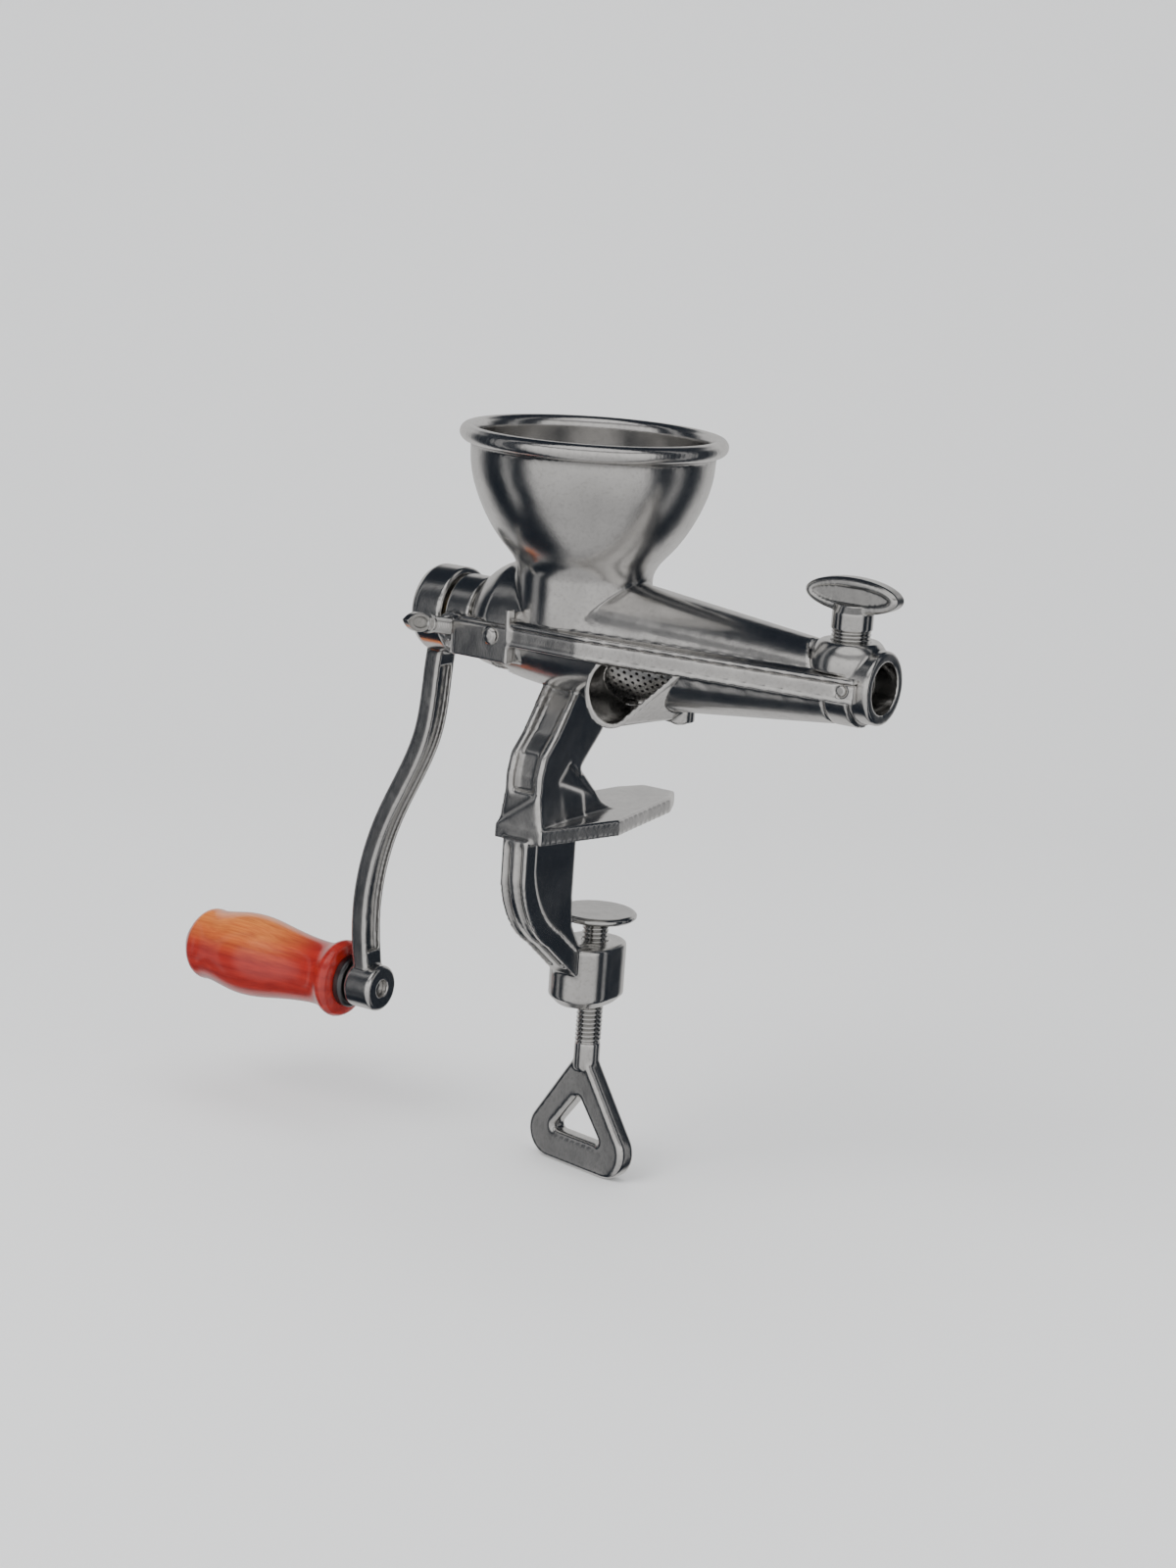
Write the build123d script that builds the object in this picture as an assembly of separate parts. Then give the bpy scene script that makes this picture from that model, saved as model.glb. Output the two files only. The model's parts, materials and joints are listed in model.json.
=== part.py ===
from build123d import *
import os
from math import cos, degrees, hypot, pi, radians, sin

# Hand-cranked juicer that clamps to a table edge.
# The pieces are drawn about the barrel: X runs along the barrel towards the pulp outlet,
# Y points at the table, Z is up, and X = 0 is the hopper's centre line.
# Before they are written, all pieces are moved so that the origin lies where the clamp
# screw's axis meets the underside of the jaw plate.

# ---- where the clamp sits, seen from the barrel's axis ----
clamp_reach = 28.0          # from the barrel's axis to the clamp screw's axis, along Y
jaw_depth = 86.5            # from the barrel's axis down to the jaw's underside

# ---- clearances ----
bearing_gap = 0.05          # radial, a turning shaft in its bush or a screw in its thread
fit_gap = 0.05              # radial, between pieces that don't move
face_gap = 0.1              # axial, between faces that turn past each other
slide_gap = 0.3             # between pieces of different bodies that pass each other

# ---- barrel castings ----
casting_wall = 3.2
parting_height = 3.0        # the two castings meet this far above the axis
worm_chamber_radius = 22.9  # where the worm is full size
taper_start = 34.0          # the chamber and the worm get narrower from here
taper_end = 118.0
chamber_front_radius = 11.9
chamber_back = -43.0
chamber_back_full = -36.0   # the chamber has its full size from here
throat_chamber_radius = 24.6    # upper half, under the hopper
outlet_radius = 10.9
shoulder_back = -47.0       # rear face of the upper casting's dome
dome_top = -32.0
dome_radius = 27.4
bump_radius = 17.0          # the round swelling behind the hopper's neck
bump_x = -23.5
bump_top = 31.0
upper_front_radius = 14.2
upper_front = 130.0
belly_back_radius = 20.0
belly_radius = 26.4
belly_end = 46.0
lower_front_radius = 17.6
lower_front = 130.0
spigot_radius = 13.0        # the castings' front end, inside the cap
spigot_end = 138.0
neck_ring_radius = 14.8     # the castings' rear end, inside the collar
neck_ring_back = -60.0

# ---- rails along both sides ----
rail_back = -16.5
rail_front = 145.0
rail_back_half_width = 31.0
rail_wide_until = 18.0
rail_front_half_width = 18.8
rail_drop = 3.2             # the flat band reaches this far below the axis
rail_bead = 2.0
rail_bead_overhang = 0.7
rail_lip_thickness = 2.2
rail_lip_top = 10.5
rail_lip_bottom = -13.5
rail_lip_depth = 5.0

# ---- hopper ----
hopper_rim_radius = 53.7
hopper_bead_radius = 3.75
hopper_rim_height = 84.0
hopper_wall = 2.6
neck_radius = 29.2
neck_top = 26.5
neck_bore_radius = 25.4
bowl_swell = 7.0            # how much wider than its neck the bowl is, 11 mm above it

# ---- rear collar, bush and lock screw ----
collar_back = -60.5
collar_front = -48.5
collar_radius = 17.2
ear_front = -19.6
ear_thickness = 2.8
ear_height = 15.0
ear_bottom = -13.5
lug_half_width = 25.0
rivet_x = -28.5
rivet_z = -2.5
rivet_radius = 2.5
rivet_head_radius = 4.3
rivet_head_height = 2.4
rivet_depth = 4.6
bush_radius = 12.4
journal_radius = 9.0
bush_length = 13.6
thrust_washer_thickness = 1.8
lock_screw_x = -54.0
lock_screw_radius = 3.7
lock_screw_pitch = 1.25
lock_screw_tilt = 11.0      # degrees above level
lock_screw_entry = (-17.0, -4.2)    # y and z of a point on its axis
lock_boss_radius = 6.4
lock_boss_length = 5.0
lock_thread_length = 25.0
leaf_length = 17.0
leaf_half_width = 4.2
leaf_thickness = 3.2
leaf_recess_depth = 0.9

# ---- front cap and pressure screw ----
cap_face = 149.6
cap_ring_radius = 15.45
cap_ring_length = 8.6
cap_back = 130.4
cap_pin_x = 139.5
cap_pin_radius = 2.2
cap_pin_depth = 5.2
pressure_x = 131.7
pressure_boss_radius = 16.4  # where the boss is widest
pressure_boss_top_radius = 12.8
pressure_boss_top = 17.6
pressure_stem_radius = 8.6
pressure_thread_radius = 8.2
pressure_pitch = 1.5
pressure_thread_top = 22.0
pressure_stem_top = 31.5
thumb_length = 43.0
thumb_thickness = 8.4
thumb_height = 14.8
thumb_bottom = 28.8
thumb_rim = 2.0             # width of the rim round the hollow in each face
thumb_hollow = 0.9
throttle_bottom = 8.0
throttle_top = 14.0
throttle_neck_radius = 2.6
throttle_neck_length = 3.0

# ---- worm and its shaft ----
worm_gap = 0.5
worm_core_back_radius = 11.9
worm_core_front_radius = 7.5
worm_start = -38.0
worm_tip = 122.5
worm_tip_radius = 5.0
worm_pitch = 24.0
worm_flight_thickness = 4.5
worm_flight_back = -34.5
worm_flight_front = 118.0
worm_flight_root = 2.0      # how deep the flight is rooted in the core
worm_steps_per_turn = 16
worm_shoulder_radius = 11.9
tail_width = 12.0
tail_fit = 0.05
tail_short = 0.6            # the tail ends this far inside the crank's hub

# ---- strainer and spout ----
strainer_back = 14.0
strainer_front = 104.0
strainer_thickness = 1.0
strainer_hole_radius = 1.05
strainer_pitch = 4.3
strainer_hole_first = 20.0
strainer_hole_last = 96.0
spout_wall = 1.8
spout_top = -5.3
spout_mouth_back = (24.0, -32.0)    # x and y of the mouth's plane, at its wide end
spout_mouth_front = (66.0, -25.6)
spout_rear_y = 1.0
spout_rim_width = 2.4
spout_rim_proud = 0.4
spout_screw_x = 50.0
spout_screw_y = 4.5
spout_screw_radius = 2.0
spout_screw_head_radius = 4.2
spout_screw_head_height = 1.4
spout_boss_radius = 6.5
spout_boss_bottom = -30.8

# ---- leg, jaw plate and clamp frame ----
leg_half_width = 9.4
leg_channel_half_width = 5.6
leg_channel_depth = 3.0
leg_channel_end = 1.0       # the channel stops this far above the jaw plate
leg_back_y = -37.4          # the leg's spine, above the jaw plate
spine_y = -40.5             # the frame's spine, below it
jaw_thickness = 7.0
jaw_back_y = -38.5
jaw_front_y = 73.0
jaw_back_half_width = 12.0
jaw_half_width = 24.0
jaw_widest_y = 4.0
jaw_front_half_width = 8.5
jaw_front_chamfer_y = 60.0
jaw_front_chamfer_half_width = 15.0
frame_half_width = 6.4
frame_groove_half_width = 1.1
frame_groove_depth = 1.6
throat_y = 0.0
frame_web_half_width = 5.2
frame_flange_depth = 8.0
boss_stretch = 9.0          # the boss is drawn out this far towards the spine
boss_radius = 14.4
boss_chamfer = 4.0

# ---- clamp screw and pad ----
clamp_thread_radius = 5.9
clamp_pitch = 2.0
clamp_thread_depth = 0.7
pad_radius = 18.1
pad_thickness = 3.4
pad_hub_radius = 7.6
pad_hub_height = 2.2
pad_spigot_radius = 3.6
pad_spigot_length = 4.6
loop_half_width = 29.5
loop_thickness = 9.5
loop_corner_radius = 12.5
loop_hole_half_width = 14.0
loop_rounding = 2.6
loop_turn = -10.0

# ---- heights along the clamp screw's axis, each from the one above it ----
clamp_open = 42.5           # from the jaw's underside to the pad
pad_top = -(jaw_depth + clamp_open)
boss_top = pad_top - 13.5
boss_bottom = boss_top - 28.0
clamp_thread_end = boss_bottom - 19.5
clamp_shank_end = clamp_thread_end - 13.0
loop_bottom = clamp_shank_end - 47.0
loop_hole_top = loop_bottom + 33.6
loop_hole_bottom = loop_bottom + 14.5

# ---- crank ----
hub_left = -79.5
hub_right = -62.0
hub_radius = 19.5
hub_chamfer = 4.2
crank_radius = 181.4
arm_axial = 8.4
arm_width = 12.6
arm_channel_half_width = 4.4
arm_channel_depth = 2.6
arm_fillet = 1.4
lower_boss_left = -111.0
lower_boss_right = -96.0
lower_boss_radius = 10.7
crank_screw_radius = 3.0
crank_screw_head_radius = 7.5
crank_screw_head_height = 4.0
crank_screw_length = 20.0
crank_washer_radius = 9.5
crank_washer_thickness = 1.6

# ---- handle ----
handle_pin_radius = 4.0
handle_pin_recess = 2.5
handle_pin_head_radius = 6.6
handle_pin_head_height = 3.0
pin_washer_thickness = 1.0
ferrule_radius = 12.2
ferrule_length = 4.2
ferrule_gap = 0.4
grip_length = 91.0
grip_flare_radius = 18.0
grip_waist_radius = 14.9
grip_palm_radius = 19.2
grip_end_radius = 10.0
grip_recess_radius = 7.4

big = 400.0                 # larger than any piece, for cutting half-spaces


# ---------------------------------------------------------------- shared shapes
def turned(*corners):
    """A solid turned about X from the corners (x, radius) of its outline."""
    return revolve(make_face(Polyline(*corners, close=True)), Axis.X)


def turned_upright(x, y, *corners):
    """A solid turned about an upright line through (x, y), from corners (radius, z)."""
    outline = Plane.XZ * make_face(Polyline(*corners, close=True))
    return Pos(x, y, 0) * revolve(outline, Axis.Z)


def rod(radius, x_from, x_to):
    """A plain round bar on the barrel's axis."""
    return turned((x_from, 0), (x_to, 0), (x_to, radius), (x_from, radius))


def above(z):
    return Pos(0, 0, z + big / 2) * Box(big, big, big)


def below(z):
    return Pos(0, 0, z - big / 2) * Box(big, big, big)


def side_plate(half_width, *corners):
    """A plate in the plane X = 0, from corners (y, z), as thick as twice half_width."""
    return extrude(Plane.YZ * make_face(Polyline(*corners, close=True)), half_width, both=True)


def thread_corners(radius, depth, pitch, start, end):
    """Corners (radius, z) down a round thread from start to end, one groove per pitch."""
    turns = int((start - end) / pitch)
    corners = []
    for turn in range(turns):
        z = start - turn * pitch
        corners += [(radius, z), (radius, z - 0.4 * pitch), (radius - depth, z - 0.7 * pitch)]
    return corners + [(radius, start - turns * pitch)]


def chamber(throat_radius, grow=0.0):
    """The worm's space in the barrel, turned about X; grow widens it."""
    return turned(
        (neck_ring_back - 1, 0),
        (neck_ring_back - 1, bush_radius),
        (chamber_back, bush_radius),
        (chamber_back_full, throat_radius + grow),
        (rail_wide_until, throat_radius + grow),
        (taper_start, worm_chamber_radius + grow),
        (taper_end, chamber_front_radius + grow),
        (taper_end + 3, outlet_radius),
        (spigot_end + 1, outlet_radius),
        (spigot_end + 1, 0),
    )


def rails(z_low, z_high, overhang=0.0):
    """A flat layer of both side rails, in one piece across the barrel."""
    back = rail_back_half_width + overhang
    front = rail_front_half_width + overhang
    plan = Polyline(
        (rail_back, -back), (rail_wide_until, -back), (rail_front, -front),
        (rail_front, front), (rail_wide_until, back), (rail_back, back), close=True,
    )
    return extrude(Pos(0, 0, z_low) * make_face(plan), z_high - z_low)


def rail_half_width(x):
    """How far a rail's outer face stands from the axis at x, in its tapered stretch."""
    share = (x - rail_wide_until) / (rail_front - rail_wide_until)
    return rail_back_half_width + share * (rail_front_half_width - rail_back_half_width)


def both_sides(solid):
    return [solid, mirror(solid, Plane.XZ)]


# ---------------------------------------------------------------- barrel, upper half
def upper_barrel():
    """The outside of the barrel's upper half: a domed back and a long taper."""
    dome = ThreePointArc(
        (shoulder_back, neck_ring_radius + 1.5), (shoulder_back + 5.5, dome_radius - 4.6),
        (dome_top, dome_radius),
    )
    rest = Polyline(
        (dome_top, dome_radius), (rail_wide_until - 4, dome_radius), (upper_front, upper_front_radius),
        (upper_front, 0), (shoulder_back, 0), (shoulder_back, neck_ring_radius + 1.5),
    )
    return revolve(make_face(dome + rest), Axis.X)


def bowl(inset, neck, top):
    """The hopper's bowl as a solid, from the neck's radius up to top; inset moves it inwards."""
    rim = hopper_rim_radius - 1.3 - inset
    side = Spline(
        (neck, neck_top),
        (neck_radius + bowl_swell - 1.2 * inset, neck_top + 11),
        (hopper_rim_radius - 4.2 - inset, neck_top + 34.5),
        (rim, hopper_rim_height - 4),
        tangents=[(0.2, 1.0), (0.0, 1.0)],
    )
    rest = Polyline((rim, hopper_rim_height - 4), (rim, top), (0, top), (0, neck_top), (neck, neck_top))
    return revolve(Plane.XZ * make_face(side + rest), Axis.Z)


def hopper_casting():
    """Bowl, neck and upper barrel in one casting, with a ledge that lies on the rails."""
    body = upper_barrel()
    body += Pos(0, 0, neck_top / 2) * Cylinder(neck_radius, neck_top)
    body += bowl(0.0, neck_radius, hopper_rim_height)
    body += Pos(0, 0, hopper_rim_height) * Torus(hopper_rim_radius, hopper_bead_radius)
    body += Pos(bump_x, 0, bump_top - bump_radius) * Sphere(bump_radius)
    body += rod(neck_ring_radius, neck_ring_back, shoulder_back + 1)
    body += rails(parting_height, parting_height + rail_bead, rail_bead_overhang)
    body -= rod(cap_ring_radius + fit_gap, upper_front, rail_front + 1)
    body -= pressure_boss_room(fit_gap)
    body += rod(spigot_radius, pressure_x - pressure_boss_radius - 1, spigot_end)
    body -= chamber(throat_chamber_radius)
    body -= bowl(hopper_wall, neck_bore_radius, hopper_rim_height + 10)
    body -= Pos(0, 0, neck_top / 2 + 2) * Cylinder(neck_bore_radius, neck_top)
    body -= throttle_window()
    body &= above(parting_height)
    return body


# ---------------------------------------------------------------- base casting
def lower_barrel():
    """The outside of the barrel's lower half."""
    belly = ThreePointArc(
        (shoulder_back, belly_back_radius), (-18.0, belly_radius - 1.7), (20.0, belly_radius),
    )
    rest = Polyline(
        (20.0, belly_radius), (belly_end, belly_radius), (lower_front, lower_front_radius),
        (lower_front, 0), (shoulder_back, 0), (shoulder_back, belly_back_radius),
    )
    return revolve(make_face(belly + rest), Axis.X)


def leg_profile(shift=0.0):
    """The slanted leg, seen along the barrel; shift moves it away from its spine."""
    points = [
        (-11.5, -20.0), (-27.0, -41.0), (leg_back_y + 2.6, -49.0), (leg_back_y, -58.0),
        (leg_back_y, -jaw_depth + 1), (throat_y, -jaw_depth + 1), (-6.5, -57.5),
        (8.5, -43.0), (19.5, -27.0), (25.0, -5.0), (0.0, -12.0),
    ]
    return [(y + shift, z) for y, z in points]


def leg():
    """The leg with a channel between two ridges down its spine."""
    solid = side_plate(leg_half_width, *leg_profile())
    channel = side_plate(leg_channel_half_width, *leg_profile())
    channel -= side_plate(leg_channel_half_width + 1, *leg_profile(leg_channel_depth))
    channel &= Pos(0, leg_back_y / 2 - 12, 0) * Box(big, -leg_back_y + 24, big)
    channel &= above(-jaw_depth + jaw_thickness + leg_channel_end)
    return solid - channel


def jaw_plate():
    plan = Polyline(
        (-jaw_back_half_width, jaw_back_y), (jaw_back_half_width, jaw_back_y),
        (jaw_half_width, jaw_widest_y), (jaw_front_chamfer_half_width, jaw_front_chamfer_y),
        (jaw_front_half_width, jaw_front_y), (-jaw_front_half_width, jaw_front_y),
        (-jaw_front_chamfer_half_width, jaw_front_chamfer_y), (-jaw_half_width, jaw_widest_y),
        close=True,
    )
    plate = extrude(Pos(0, 0, -jaw_depth) * make_face(plan), jaw_thickness)
    return chamfer(plate.faces().sort_by(Axis.Z)[-1].edges(), 0.8)


def foot():
    """The pyramid where the leg stands on the jaw plate: it narrows towards the gusset's toe."""
    plate_top = -jaw_depth + jaw_thickness - 0.5

    def section(y, bottom, top, height):
        outline = Polyline(
            (-bottom, plate_top), (bottom, plate_top), (top, plate_top + height),
            (-top, plate_top + height), close=True,
        )
        plane = Plane(origin=(0, y, 0), x_dir=(1, 0, 0), z_dir=(0, -1, 0))
        return plane * make_face(outline)

    sides = loft([
        section(leg_back_y, jaw_back_half_width - 0.4, leg_half_width, 15.0),
        section(leg_back_y + 16, leg_half_width + 0.7, leg_half_width, 16.3),
        section(21.0, 5.7, 5.2, 0.8),
    ], ruled=True)
    back = Polyline(
        (-jaw_back_half_width + 0.5, plate_top), (jaw_back_half_width - 0.4, plate_top),
        (leg_half_width, plate_top + 15.0), close=True,
    )
    plane = Plane(origin=(0, leg_back_y + 3, 0), x_dir=(1, 0, 0), z_dir=(0, -1, 0))
    return sides + extrude(plane * make_face(back), leg_back_y + 3 - jaw_back_y - 0.2)


def gusset():
    """The rib that carries the clamping force from the jaw plate into the leg."""
    plate_top = -jaw_depth + jaw_thickness
    return side_plate(leg_half_width - 0.8, (-14.0, -50.0), (-7.0, -56.0), (14.0, plate_top + 4.5),
                      (24.0, plate_top - 1), (-14.0, plate_top - 1))


def gusset_panel():
    """The triangular hollow in each side of the gusset."""
    panel = Plane.YZ * make_face(Polyline((-14.5, -54.0), (-22.5, -62.0), (10.5, -73.4), close=True))
    cut = Pos(leg_half_width - 1.6, 0, 0) * extrude(panel, 5)
    return [cut, mirror(cut, Plane.YZ)]


def frame_profile(shift=0.0):
    """The C-shaped frame below the jaw plate, seen along the barrel."""
    low = boss_bottom
    bend = ThreePointArc((spine_y, low + 66.5), (spine_y + 6.0, low + 49.5), (-18.0, low + 34.0))
    rest = Polyline(
        (-18.0, low + 34.0), (clamp_reach - 20.0, low + 14.0), (clamp_reach - 8.0, low + 3.5),
        (clamp_reach, low + 3.5), (clamp_reach, boss_top - 1), (throat_y + 8, boss_top + 2),
        (throat_y + 1.5, boss_top + 12), (throat_y, boss_top + 26), (throat_y, -jaw_depth + 1),
        (spine_y, -jaw_depth + 1), (spine_y, low + 66.5),
    )
    return Pos(0, shift, 0.6 * shift) * (Plane.YZ * make_face(bend + rest))


def clamp_frame():
    """The frame: a web with a wider spine that has two grooves, and the boss for the clamp screw."""
    web = extrude(frame_profile(), frame_web_half_width, both=True)
    spine = extrude(frame_profile(), frame_half_width, both=True)
    spine -= extrude(frame_profile(frame_flange_depth), big, both=True)
    groove = extrude(frame_profile(), frame_groove_half_width, both=True)
    groove -= extrude(frame_profile(frame_groove_depth), big, both=True)
    groove &= below(-jaw_depth - 1) & above(boss_top - 7)
    groove &= Pos(0, spine_y / 2 - 4, 0) * Box(big, -spine_y + 8, big)
    offset_x = frame_half_width / 2
    solid = web + spine - [Pos(offset_x, 0, 0) * groove, Pos(-offset_x, 0, 0) * groove]

    def boss_slice(radius, z_low, z_high):
        near = Pos(0, clamp_reach - boss_stretch) * Circle(radius)
        outline = make_hull([*(Pos(0, clamp_reach) * Circle(radius)).edges(), *near.edges()])
        return extrude(Pos(0, 0, z_low) * make_face(outline.edges()), z_high - z_low)

    boss = boss_slice(boss_radius, boss_bottom, boss_top)
    boss = chamfer(boss.faces().sort_by(Axis.Z)[0].edges(), boss_chamfer)
    boss = chamfer(boss.faces().sort_by(Axis.Z)[-1].edges(), 1.0)
    return solid + boss


def rail_lips():
    """The raised stops at the rear end of the rails."""
    height = rail_lip_top - rail_lip_bottom
    lip = Pos(
        rail_back - rail_lip_thickness / 2,
        -(rail_back_half_width + rail_bead_overhang - rail_lip_depth / 2),
        rail_lip_bottom + height / 2,
    ) * Box(rail_lip_thickness, rail_lip_depth, height)
    return both_sides(lip - rod(dome_radius + fit_gap, -60, 60) & above(parting_height)
                      ) + both_sides(lip & below(parting_height))


def ear_lugs():
    """Flat cheeks on the lower barrel that the collar's ears lie on."""
    lug_back = shoulder_back + 0.4
    length = rail_back - lug_back
    height = parting_height - ear_bottom
    lug = Pos(lug_back + length / 2, -(lug_half_width - 5), ear_bottom + height / 2) * Box(length, 10, height)
    return both_sides(lug)


def base_casting():
    """Lower barrel, rails, leg, jaw plate and clamp frame in one casting."""
    body = lower_barrel()
    body += rails(-rail_drop, parting_height)
    body += rails(-rail_drop - rail_bead, -rail_drop, rail_bead_overhang)
    body += ear_lugs()
    body -= rod(cap_ring_radius + fit_gap, lower_front, rail_front + 1)
    body += rod(neck_ring_radius, neck_ring_back, shoulder_back + 1)
    body += rod(spigot_radius, lower_front - 1, spigot_end)
    body &= below(parting_height)
    body += rail_lips()
    body += leg()
    body += jaw_plate()
    body += foot()
    body += gusset()
    body -= gusset_panel()
    body += clamp_frame()
    body -= chamber(worm_chamber_radius)
    body -= strainer_shell(fit_gap, fit_gap)
    body -= spout_space()
    body -= clamp_axis_hole()
    body -= rivet_holes()
    body -= cap_pin_holes()
    body -= lock_screw_hole()
    body -= spout_screw_hole()
    return body


def clamp_axis_hole():
    """The threaded bore through the frame's boss."""
    bore = clamp_thread_radius + bearing_gap
    length = boss_top - boss_bottom + 4
    return Pos(0, clamp_reach, (boss_top + boss_bottom) / 2) * Cylinder(bore, length)


# ---------------------------------------------------------------- rear collar
def lock_axis():
    """The lock screw's axis: Z of this plane points out of the collar."""
    y, z = lock_screw_entry
    tilt = radians(lock_screw_tilt)
    return Plane(origin=(lock_screw_x, y, z), x_dir=(1, 0, 0), z_dir=(0, -cos(tilt), sin(tilt)))


def lock_screw_tip():
    """Where the lock screw ends, on its axis, against the bush."""
    return -(hypot(*lock_screw_entry) - bush_radius) + 0.4


def lock_screw_hole():
    tip = lock_screw_tip() - 1.5
    hole = Cylinder(lock_screw_radius + bearing_gap, 40, align=(Align.CENTER, Align.CENTER, Align.MIN))
    return lock_axis() * Pos(0, 0, tip) * hole


def rivet_holes():
    face = lug_half_width + ear_thickness
    hole = Pos(rivet_x, -face + rivet_depth / 2 - 1, rivet_z) * Rot(90, 0, 0) * Cylinder(
        rivet_radius + fit_gap / 2, rivet_depth + 2)
    return both_sides(hole)


def rear_collar():
    """A ring round the castings' rear end, with an ear down each side."""
    ear_z = ear_height / 2 + ear_bottom
    inner = lug_half_width + fit_gap
    outer = lug_half_width + ear_thickness
    plan = Polyline(
        (collar_back, -11.0), (collar_back, -15.5), (collar_back + 5, -18.5), (collar_front - 1.5, -outer + 1.5),
        (collar_front + 1, -outer), (ear_front, -outer), (ear_front, -inner), (shoulder_back + 0.35, -inner),
        (shoulder_back + 0.35, -inner + 1.5), (collar_front, -inner + 3), (collar_front, -11.0), close=True,
    )
    ear = extrude(Pos(0, 0, ear_z - ear_height / 2) * make_face(plan), ear_height)
    body = rod(collar_radius, collar_back, collar_front)
    body += both_sides(ear)
    boss = Cylinder(lock_boss_radius, lock_boss_length + 4, align=(Align.CENTER, Align.CENTER, Align.MIN))
    body += lock_axis() * Pos(0, 0, -4 + 1.0) * boss
    body -= rod(neck_ring_radius + fit_gap, collar_back - 1, collar_front + 1)
    body -= lock_screw_hole()
    body -= rivet_holes()
    return body


def collar_rivets():
    face = lug_half_width + ear_thickness
    shank = Pos(rivet_x, -face + rivet_depth / 2, rivet_z) * Rot(90, 0, 0) * Cylinder(rivet_radius, rivet_depth)
    dome = turned_upright(
        0, 0, (0, 0), (rivet_head_radius, 0), (rivet_head_radius - 0.4, rivet_head_height * 0.45),
        (rivet_head_radius * 0.65, rivet_head_height * 0.85), (0, rivet_head_height),
    )
    head = Pos(rivet_x, -face, rivet_z) * Rot(90, 0, 0) * dome
    return Compound(both_sides(shank + head))


def rear_bush():
    back = neck_ring_back
    front = back + bush_length
    outer = bush_radius - fit_gap
    return rod(outer, back, front) - rod(journal_radius + bearing_gap, back - 1, front + 1)


def lock_screw():
    """A screw with a leaf-shaped flat head, hollowed on both faces."""
    tip = lock_screw_tip()
    head_start = tip + lock_thread_length
    shank = turned_upright(0, 0, (0, tip), *reversed(thread_corners(
        lock_screw_radius, 0.5, lock_screw_pitch, head_start, tip + 0.4)), (0, head_start))
    neck = Pos(0, 0, head_start + 1.0) * Cylinder(lock_screw_radius + 0.6, 2.0)

    def leaf_outline(inset):
        start = head_start + 1.2 + inset
        end = head_start + 1.2 + leaf_length - inset * 1.6
        width = leaf_half_width - inset
        middle = start + 0.42 * (end - start)
        upper = ThreePointArc((start, 1.6 * width / leaf_half_width), (middle, width), (end, 0))
        lower = ThreePointArc((end, 0), (middle, -width), (start, -1.6 * width / leaf_half_width))
        back = Line((start, -1.6 * width / leaf_half_width), (start, 1.6 * width / leaf_half_width))
        return make_face(upper + lower + back)

    upright = Plane(origin=(0, 0, 0), x_dir=(0, 0, 1), z_dir=(1, 0, 0))
    leaf = extrude(upright * leaf_outline(0.0), leaf_thickness / 2, both=True)
    hollow = extrude(upright * leaf_outline(1.7), leaf_recess_depth)
    leaf -= Pos(leaf_thickness / 2 - leaf_recess_depth, 0, 0) * hollow
    leaf -= Pos(-leaf_thickness / 2, 0, 0) * hollow
    return lock_axis() * (shank + neck + leaf)


# ---------------------------------------------------------------- front cap
def cap_pin_holes():
    hole = Pos(cap_pin_x, -(cap_ring_radius + 3), 0) * Rot(90, 0, 0) * Cylinder(
        cap_pin_radius + fit_gap / 2, 2 * (cap_pin_depth + 1.5))
    return both_sides(hole)


def pressure_boss():
    """The round pot on top of the cap that the pressure screw goes down into."""
    shoulder_z = pressure_boss_top * 0.35
    side = ThreePointArc(
        (pressure_boss_radius, shoulder_z), (pressure_boss_radius - 0.8, pressure_boss_top * 0.7),
        (pressure_boss_top_radius, pressure_boss_top - 0.8),
    )
    rest = Polyline(
        (pressure_boss_top_radius, pressure_boss_top - 0.8), (pressure_boss_top_radius - 1.0, pressure_boss_top),
        (0, pressure_boss_top), (0, 0), (pressure_boss_radius, 0), (pressure_boss_radius, shoulder_z),
    )
    pot = Pos(pressure_x, 0, 0) * revolve(Plane.XZ * make_face(side + rest), Axis.Z)
    return pot & above(parting_height + rail_bead + slide_gap)


def pressure_boss_room(grow):
    """The upright round space that the castings leave for that boss."""
    low = parting_height + rail_bead + slide_gap - grow
    return Pos(pressure_x, 0, 0) * Cylinder(pressure_boss_radius + grow, big) & above(low)


def front_cap():
    """Outlet ring, sleeve over the barrel's end, and the pressure screw's boss."""
    body = rod(cap_ring_radius, cap_back, cap_face - 1.2)
    body += turned((cap_face - 1.3, 0), (cap_face - 1.3, cap_ring_radius), (cap_face - 0.9, cap_ring_radius),
                   (cap_face, cap_ring_radius - 1.1), (cap_face, 0))
    sleeve_end = cap_face - cap_ring_length
    sleeve = rod(lower_front_radius, cap_back, sleeve_end) & below(-rail_drop - rail_bead - slide_gap)
    body += sleeve
    body += pressure_boss()
    body -= rod(spigot_radius + fit_gap, pressure_x - pressure_boss_radius - 1, spigot_end + fit_gap)
    body -= rod(outlet_radius, spigot_end - 1, cap_face + 1)
    well = Pos(pressure_x, 0, (pressure_boss_top + 1) / 2 + 2) * Cylinder(
        pressure_thread_radius + bearing_gap, pressure_boss_top - 2)
    body -= well
    body -= cap_pin_holes()
    return body


def throttle_window():
    """The opening in the castings' front end that the throttle plug comes down through."""
    return Pos(pressure_x, 0, 12) * Cylinder(pressure_thread_radius + 2 * slide_gap, 20)


def cap_lock_pins():
    outer = rail_half_width(cap_pin_x) + 0.3
    inner = cap_ring_radius + 3 - cap_pin_depth
    pin = Pos(cap_pin_x, -(outer + inner) / 2, 0) * Rot(90, 0, 0) * Cylinder(cap_pin_radius, outer - inner)
    return Compound(both_sides(pin))


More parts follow.
